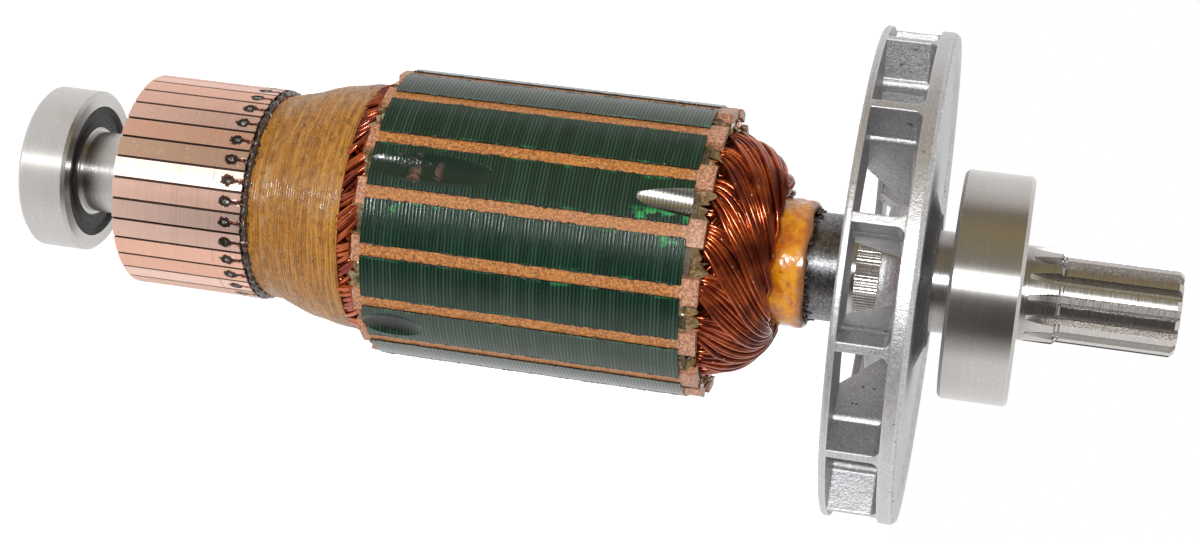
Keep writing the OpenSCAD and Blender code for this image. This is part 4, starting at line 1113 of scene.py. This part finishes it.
class ARMATURE_OT_fan_end_turns(Maker):
    """Builds the bundle of end turns at the fan end, wire by wire"""
    bl_idname = "armature.fan_end_turns"
    bl_label = "Fan-end turns"

    top_r, turn_r, shoulder = 12.3, 21.8, 1.12

    def dome(self, t, depth):
        """Radius and height on the bunch; t is 0 where it leaves the slots and 1 at the top."""
        a = np.clip(t, 0, 1) * math.pi / 2
        z0 = Z_CORE_END + 2.6
        height = Z_TURNS_TOP - z0 - 0.6
        c, s = np.maximum(np.cos(a), 1e-6), np.maximum(np.sin(a), 1e-6)
        r = self.top_r + (self.turn_r - self.top_r) * c ** self.shoulder
        z = z0 + height * s ** self.shoulder
        out_r, out_z = c ** 0.8, s ** 0.8
        size = np.sqrt(out_r ** 2 + out_z ** 2)
        r, z = r - depth * out_r / size, z - depth * out_z / size
        z = z + np.minimum(t, 0) * 14
        return r, z, out_r / size, out_z / size

    def coil(self, rng, start, way, sweep, across, rows, sink, wire):
        """Paths of one coil's wires from their slot to the top."""
        steps = 34
        s = np.linspace(-0.26, 1.16, steps)
        lean = rng.normal(0, math.radians(1.5))
        grow = np.clip(s, 0, None)
        base = start + way * (sweep + rng.normal(0, math.radians(3))) * grow ** 1.75 + lean * grow
        width = np.interp(s, [-0.3, 0.0, 0.35, 0.7, 1.0, 1.2], [4.1, 4.5, 7.0, 6.2, 4.0, 3.2])
        paths, ups = [], []
        for row in range(rows):
            count = across - row % 2
            for i in range(count):
                u = (i - (count - 1) / 2) / max((across - 1) / 2, 1)
                u = u + 0.05 * np.sin(s * rng.uniform(2, 5) + rng.uniform(0, TAU)) + rng.normal(0, 0.02)
                roof = 1.5 * (0.5 - 0.5 * way * u * way) * np.clip(s * 2.5, 0.15, 1)
                squeezed = (i % 2) * 0.7 * wire * np.clip(1 - s * 2.2, 0, 1)
                depth = sink + wire / 2 + row * wire * 0.92 + roof + squeezed + 0.16 * np.sin(
                    s * rng.uniform(3, 7) + rng.uniform(0, TAU)) + 3.2 * np.clip(s - 1.0, 0, None) * 5
                r, z, n_r, n_z = self.dome(s, depth)
                # Wires keep their spacing square to the way they run
                step_round = way * sweep * 1.75 * grow ** 0.75 * r
                step_up = np.hypot(np.gradient(r, s), np.gradient(z, s))
                slant = np.arctan2(step_round, step_up)
                shift = u * width / 2
                angle = base + way * shift * np.cos(slant) / r * 1.0
                t = s - shift * np.abs(np.sin(slant)) / 18.0
                r, z, n_r, n_z = self.dome(t, depth)
                paths.append(polar(r, angle, z))
                ups.append(np.stack([n_r * np.cos(angle), n_r * np.sin(angle), n_z], -1))
        return np.array(paths), np.array(ups)

    def make(self, context):
        settings = context.scene.armature_wires
        wire = settings.diameter / MM
        material = bpy.data.materials["enamelled wire"]
        rng = np.random.default_rng(41)
        outer = [self.coil(rng, SLOT_ANGLE + k * SLOT_STEP, 1, settings.sweep, settings.across,
                           settings.rows, 0.0, wire) for k in range(SLOTS)]
        points, faces = tubes(np.concatenate([p for p, _ in outer]), np.concatenate([u for _, u in outer]),
                              wire / 2, 7)
        top = build("fan_end_turns", points, faces, material)
        inner = [self.coil(rng, SLOT_ANGLE + k * SLOT_STEP, -1, settings.sweep, settings.across - 1,
                           1, 2.6, wire) for k in range(SLOTS)]
        points, faces = tubes(np.concatenate([p for p, _ in inner]), np.concatenate([u for _, u in inner]),
                              wire / 2, 6)
        build("fan_end_inner_turns", points, faces, material)
        around = 192
        angle = np.arange(around) * TAU / around
        t = np.linspace(-0.25, 1, 18)[:, None]
        r, z, _, _ = self.dome(t + 0 * angle, 4.2 + 0.4 * np.sin(angle * 16 * 2 + t * 9))
        outside = polar(r, angle[None], z)
        inside = polar(np.full_like(r, R_TUBE - 0.1), angle[None], z[::-1])
        points, quads = loft(np.concatenate([outside, inside]))
        build("fan_end_turns_heart", points, quads, material)
        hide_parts("winding_fan_end")
        dress(["slot_conductors"], material)


class ARMATURE_OT_comm_end_turns(Maker):
    """Builds the bare ring of wires between the cord band and the stack"""
    bl_idname = "armature.comm_end_turns"
    bl_label = "Commutator-end turns"

    def make(self, context):
        wire = context.scene.armature_wires.diameter / MM
        material = bpy.data.materials["enamelled wire"]
        rng = np.random.default_rng(51)
        steps = 14
        s = np.linspace(0, 1, steps)
        paths = []
        for way, sink, count in ((1, 0.0, 12), (-1, 1.0, 12)):
            for k in range(SLOTS):
                for i in range(count):
                    u = (i + 0.5) / count - 0.5 + rng.normal(0, 0.02)
                    at_slot = 4.4 * u / 23
                    at_band = SLOT_STEP * 1.02 * u + way * math.radians(16 + rng.normal(0, 3))
                    angle = SLOT_ANGLE + k * SLOT_STEP + at_slot + (at_band - at_slot) * s ** 0.8
                    z = Z_CORE + 0.4 - (Z_CORE - Z_BAND_END + 2.4) * s
                    bow = rng.uniform(0.0, 0.7)
                    r = 23.0 - sink - rng.uniform(0, 0.5) - 1.9 * s ** 1.6 + bow * np.sin(s * math.pi)
                    paths.append(polar(r, angle, z))
        paths = np.array(paths)
        points, faces = tubes(paths, unit(paths * [1, 1, 0]), wire / 2, 8)
        around = 160
        angle = np.arange(around) * TAU / around
        z = np.linspace(Z_BAND_END - 3, Z_CORE + 0.3, 6)[:, None]
        outside = polar(19.6 + 0.4 * np.sin(angle * 32 + z), angle[None], z)
        inside = polar(np.full((6, around), R_TUBE - 0.1), angle[None], z[::-1])
        heart = loft(np.concatenate([outside, inside]))
        points, faces = joined([(points, faces), heart])
        piece = build("comm_end_turns", points, faces, material)
        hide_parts("winding_comm_end")


class ARMATURE_OT_cord_band(Maker):
    """Winds the cord band over the commutator-end turns"""
    bl_idname = "armature.cord_band"
    bl_label = "Cord band"

    def radius(self, z):
        """Outer radius of the band at a height."""
        waist = Z_BAND + 2.4
        u = np.clip((z - waist) / (Z_BAND_END - waist), 0, 1)
        return np.where(z < waist, 18.8 + 0.4 * (z - waist) / (waist - Z_BAND),
                        18.8 + 3.7 * np.sin(u * math.pi / 2) ** 1.15)

    def make(self, context):
        pitch = context.scene.armature_band.pitch / MM
        around, per_turn = 288, 6
        turns = int((Z_BAND_END - Z_BAND) / pitch)
        rows = turns * per_turn
        z = np.linspace(Z_BAND, Z_BAND_END, rows + 1)[:, None]
        angle = (np.arange(around) * TAU / around)[None]
        slip = 0.16 * ripple(61, 10, 9, 0.5, angle, z)
        phase = (z - Z_BAND) / pitch + angle / TAU + slip
        cord = np.sqrt(np.maximum(1 - (2 * (phase - np.floor(phase)) - 1) ** 2, 0)) * 0.24
        number = np.floor(phase)
        lift = 0.07 * np.sin(number * 12.9898) + 0.12 * ripple(62, 12, 14, 1.4, angle, z)
        fill = 0.05 * ripple(63, 16, 70, 9.0, angle, z)
        r = self.radius(z) - 0.28 + cord + lift + fill
        outer = polar(r, angle, z + 0 * angle)
        low = np.linspace(Z_BAND_END, Z_BAND, 10)[:, None]
        inner = polar(self.radius(low) - 1.1 + 0 * angle, angle, low + 0 * angle)
        points, quads = loft(np.concatenate([outer, inner]))
        piece = build("cord_band_turns", points, quads, cord_finish())
        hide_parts("cord_band")


class ARMATURE_OT_insulating_tube(Maker):
    """Finishes the tube on the shaft and adds its varnish runs and the charred lumps beside it"""
    bl_idname = "armature.insulating_tube"
    bl_label = "Insulating tube"

    def make(self, context):
        amber = amber_finish()
        dress(["shaft_insulating_tube"], amber)
        around, rows = 260, 26
        angle = (np.arange(around) * TAU / around)[None]
        v = np.linspace(0, 1, rows)[:, None]
        end = Z_TUBE_END + 0.25 + 0.3 * ripple(71, 6, 10, 0, angle, 0 * angle)
        z = Z_TURNS_TOP - 2.5 + (end - Z_TURNS_TOP + 2.5) * v
        swell = 0.35 * ripple(72, 8, 7, 0.7, angle, z) + 0.14 * ripple(73, 10, 22, 2.5, angle, z)
        edge = np.sqrt(np.maximum(1 - ((v - 0.5) * 2) ** 8, 0.0))
        r = R_TUBE + (0.45 + swell) * edge
        outer = polar(np.maximum(r, R_TUBE + 0.03), angle, z)
        inner = polar(np.full((rows, around), R_TUBE - 0.12), angle, z[::-1])
        points, quads = loft(np.concatenate([outer, inner]))
        build("tube_varnish", points, quads, amber)
        rng = np.random.default_rng(74)
        places, sizes = [], []
        for centre, spread, count in ((-180, 18, 34), (-8, 26, 40), (-90, 70, 26), (60, 70, 26)):
            for _ in range(count):
                a = math.radians(centre + rng.normal(0, spread))
                z = Z_TUBE_END + abs(rng.normal(0.1, 0.6))
                size = rng.uniform(0.18, 0.5)
                places.append(polar(R_BODY + rng.uniform(-0.1, 0.35), a, z))
                sizes.append((size, size * rng.uniform(0.7, 1.3), size * rng.uniform(0.5, 1.1)))
        points, faces = lumps(places, sizes, 75)
        build("charred_lumps", points, faces, bpy.data.materials["burnt varnish"])


class ARMATURE_OT_fan(Maker):
    """Finishes the cast fan"""
    bl_idname = "armature.fan"
    bl_label = "Fan"

    def make(self, context):
        dress(["fan"], casting_finish())


class ARMATURE_OT_stage(Maker):
    """Sets up the floor, the light and the camera"""
    bl_idname = "armature.stage"
    bl_label = "Stage"

    # Tent colour by the angle from straight in front: white, with dim screens round the front
    tent = (
        (-180, (0.95, 0.95, 0.95)), (-78, (1.0, 0.98, 0.97)), (-62, (0.50, 0.47, 0.45)),
        (-46, (0.06, 0.055, 0.052)), (-20, (0.08, 0.075, 0.072)), (12, (0.14, 0.13, 0.11)),
        (32, (0.30, 0.26, 0.18)), (58, (0.34, 0.27, 0.14)), (80, (0.22, 0.18, 0.13)),
        (96, (0.66, 0.62, 0.60)), (115, (0.85, 0.83, 0.82)), (180, (0.95, 0.95, 0.95)),
    )

    def make(self, context):
        self.floor()
        self.world()
        self.lamps(context)
        self.camera(context)
        context.scene.view_settings.view_transform = "Standard"

    def room(self, tree, x, y, level):
        """Colour of the tent in the way (x, y); level is 1 for a level way and 0 for a steep one."""
        turn = calc(tree, "ARCTAN2", calc(tree, "MULTIPLY", x, -1.0), calc(tree, "MULTIPLY", y, -1.0))
        bands = put(tree, "ShaderNodeValToRGB", {0: ramp(tree, turn, -math.pi, math.pi, smooth=False)})
        stops = bands.color_ramp.elements
        for degrees, colour in self.tent:
            place = degrees / 360 + 0.5
            stop = stops[0] if degrees == self.tent[0][0] else stops.new(place)
            stop.position, stop.color = place, (*colour, 1.0)
        stops.remove(stops[-1])
        return blend(tree, level, (1.0, 1.0, 1.0), bands.outputs["Color"])

    def floor(self):
        size = 4.0
        mesh = bpy.data.meshes.new("floor")
        mesh.from_pydata([(-size, -size, 0), (size, -size, 0), (size, size, 0), (-size, size, 0)], [], [(0, 1, 2, 3)])
        floor = bpy.data.objects.new("floor", mesh)
        bpy.context.scene.collection.objects.link(floor)
        floor.location.z = -0.0001
        made = bpy.data.materials.new("pale floor")
        made.use_nodes = True
        made.cycles.emission_sampling = "NONE"
        tree = made.node_tree
        shader = tree.nodes["Principled BSDF"]
        shader.inputs["Base Color"].default_value = (0.85, 0.85, 0.85, 1)
        shader.inputs["Roughness"].default_value = 0.9
        glow = put(tree, "ShaderNodeEmission", {"Color": (1, 1, 1, 1), "Strength": 0.62})
        lit = put(tree, "ShaderNodeAddShader", {0: shader.outputs[0], 1: glow.outputs[0]})
        # In polished metal the floor is white too, and as dark in front as the room there
        at = put(tree, "ShaderNodeSeparateXYZ", {0: place_in(tree)}).outputs
        away = calc(tree, "SQRT", calc(tree, "ADD", calc(tree, "MULTIPLY", at["X"], at["X"]),
                                       calc(tree, "MULTIPLY", at["Y"], at["Y"])))
        level = ramp(tree, away, 0.05, 0.12)
        mirrored = put(tree, "ShaderNodeEmission", {"Color": self.room(tree, at["X"], at["Y"], level)})
        ray = tree.nodes.new("ShaderNodeLightPath").outputs
        shiny = calc(tree, "MAXIMUM", ray["Is Glossy Ray"], ray["Is Transmission Ray"])
        first = put(tree, "ShaderNodeMixShader", {0: shiny, 1: shader.outputs[0], 2: mirrored.outputs[0]})
        mixed = put(tree, "ShaderNodeMixShader", {
            0: ray["Is Camera Ray"], 1: first.outputs[0], 2: lit.outputs[0]})
        tree.links.new(mixed.outputs[0], tree.nodes["Material Output"].inputs["Surface"])
        mesh.materials.append(made)

    def world(self):
        world = bpy.data.worlds.new("studio")
        bpy.context.scene.world = world
        world.use_nodes = True
        tree = world.node_tree
        tree.nodes.clear()
        ray = tree.nodes.new("ShaderNodeLightPath").outputs
        way = put(tree, "ShaderNodeSeparateXYZ", {
            0: tree.nodes.new("ShaderNodeTexCoord").outputs["Generated"]}).outputs
        level = ramp(tree, calc(tree, "ABSOLUTE", way["Z"]), 0.80, 0.92, 1.0, 0.0)
        tent = put(tree, "ShaderNodeBackground", {"Color": self.room(tree, way["X"], way["Y"], level)})
        white = put(tree, "ShaderNodeBackground", {"Color": (1, 1, 1, 1), "Strength": 1.0})
        mixed = put(tree, "ShaderNodeMixShader", {
            0: ray["Is Camera Ray"], 1: tent.outputs[0], 2: white.outputs[0]})
        out = tree.nodes.new("ShaderNodeOutputWorld")
        tree.links.new(mixed.outputs[0], out.inputs["Surface"])

    def lamps(self, context):
        middle = Vector((0, 0, 0.11))
        place = Vector((-0.07, -0.86, 0.18))
        lamp = bpy.data.lights.new("key lamp", "AREA")
        lamp.shape = "DISK"
        lamp.size = 0.13
        lamp.energy = context.scene.armature_stage.key
        holder = bpy.data.objects.new("key lamp", lamp)
        holder.location = place
        holder.rotation_euler = (middle - place).to_track_quat("-Z", "Y").to_euler()
        context.scene.collection.objects.link(holder)

    def camera(self, context):
        settings = context.scene.armature_stage
        yaw, pitch, roll = math.radians(11.036), math.radians(0.885), math.radians(7.659)
        forward = Vector((math.sin(pitch), math.cos(yaw) * math.cos(pitch), -math.sin(yaw) * math.cos(pitch)))
        along = Vector((0, 0, 1))
        right = (along - along.dot(forward) * forward).normalized()
        up = right.cross(forward)
        right, up = (math.cos(roll) * right + math.sin(roll) * up, -math.sin(roll) * right + math.cos(roll) * up)
        data = bpy.data.cameras.new("camera")
        data.sensor_width = 36
        data.lens = settings.lens
        data.clip_start, data.clip_end = 0.01, 20
        holder = bpy.data.objects.new("camera", data)
        turn = Matrix((right, up, -forward)).transposed().to_4x4()
        holder.matrix_world = Matrix.Translation((0, -settings.distance, 0.17967)) @ turn
        context.scene.collection.objects.link(holder)
        context.scene.camera = holder


MAKERS = (
    ARMATURE_OT_stage, ARMATURE_OT_shaft, ARMATURE_OT_bearings, ARMATURE_OT_commutator, ARMATURE_OT_core,
    ARMATURE_OT_slot_insulation, ARMATURE_OT_fan_end_turns, ARMATURE_OT_comm_end_turns,
    ARMATURE_OT_cord_band, ARMATURE_OT_insulating_tube, ARMATURE_OT_fan,
)


class ARMATURE_PT_panel(bpy.types.Panel):
    bl_idname = "ARMATURE_PT_panel"
    bl_label = "Motor armature"
    bl_space_type = "VIEW_3D"
    bl_region_type = "UI"
    bl_category = "Armature"

    def draw(self, context):
        for maker in MAKERS:
            self.layout.operator(maker.bl_idname)
        for key, kind in SETTINGS.items():
            box = self.layout.box()
            for prop in kind.__annotations__:
                box.prop(getattr(context.scene, key), prop)


def register():
    for kind in (*SETTINGS.values(), *MAKERS, ARMATURE_PT_panel):
        bpy.utils.register_class(kind)
    for key, kind in SETTINGS.items():
        setattr(bpy.types.Scene, key, PointerProperty(type=kind))


def unregister():
    for key in SETTINGS:
        delattr(bpy.types.Scene, key)
    for kind in reversed((*SETTINGS.values(), *MAKERS, ARMATURE_PT_panel)):
        bpy.utils.unregister_class(kind)


def main():
    register()
    for maker in MAKERS:
        group, name = maker.bl_idname.split(".")
        getattr(getattr(bpy.ops, group), name)()


if __name__ == "__main__":
    main()
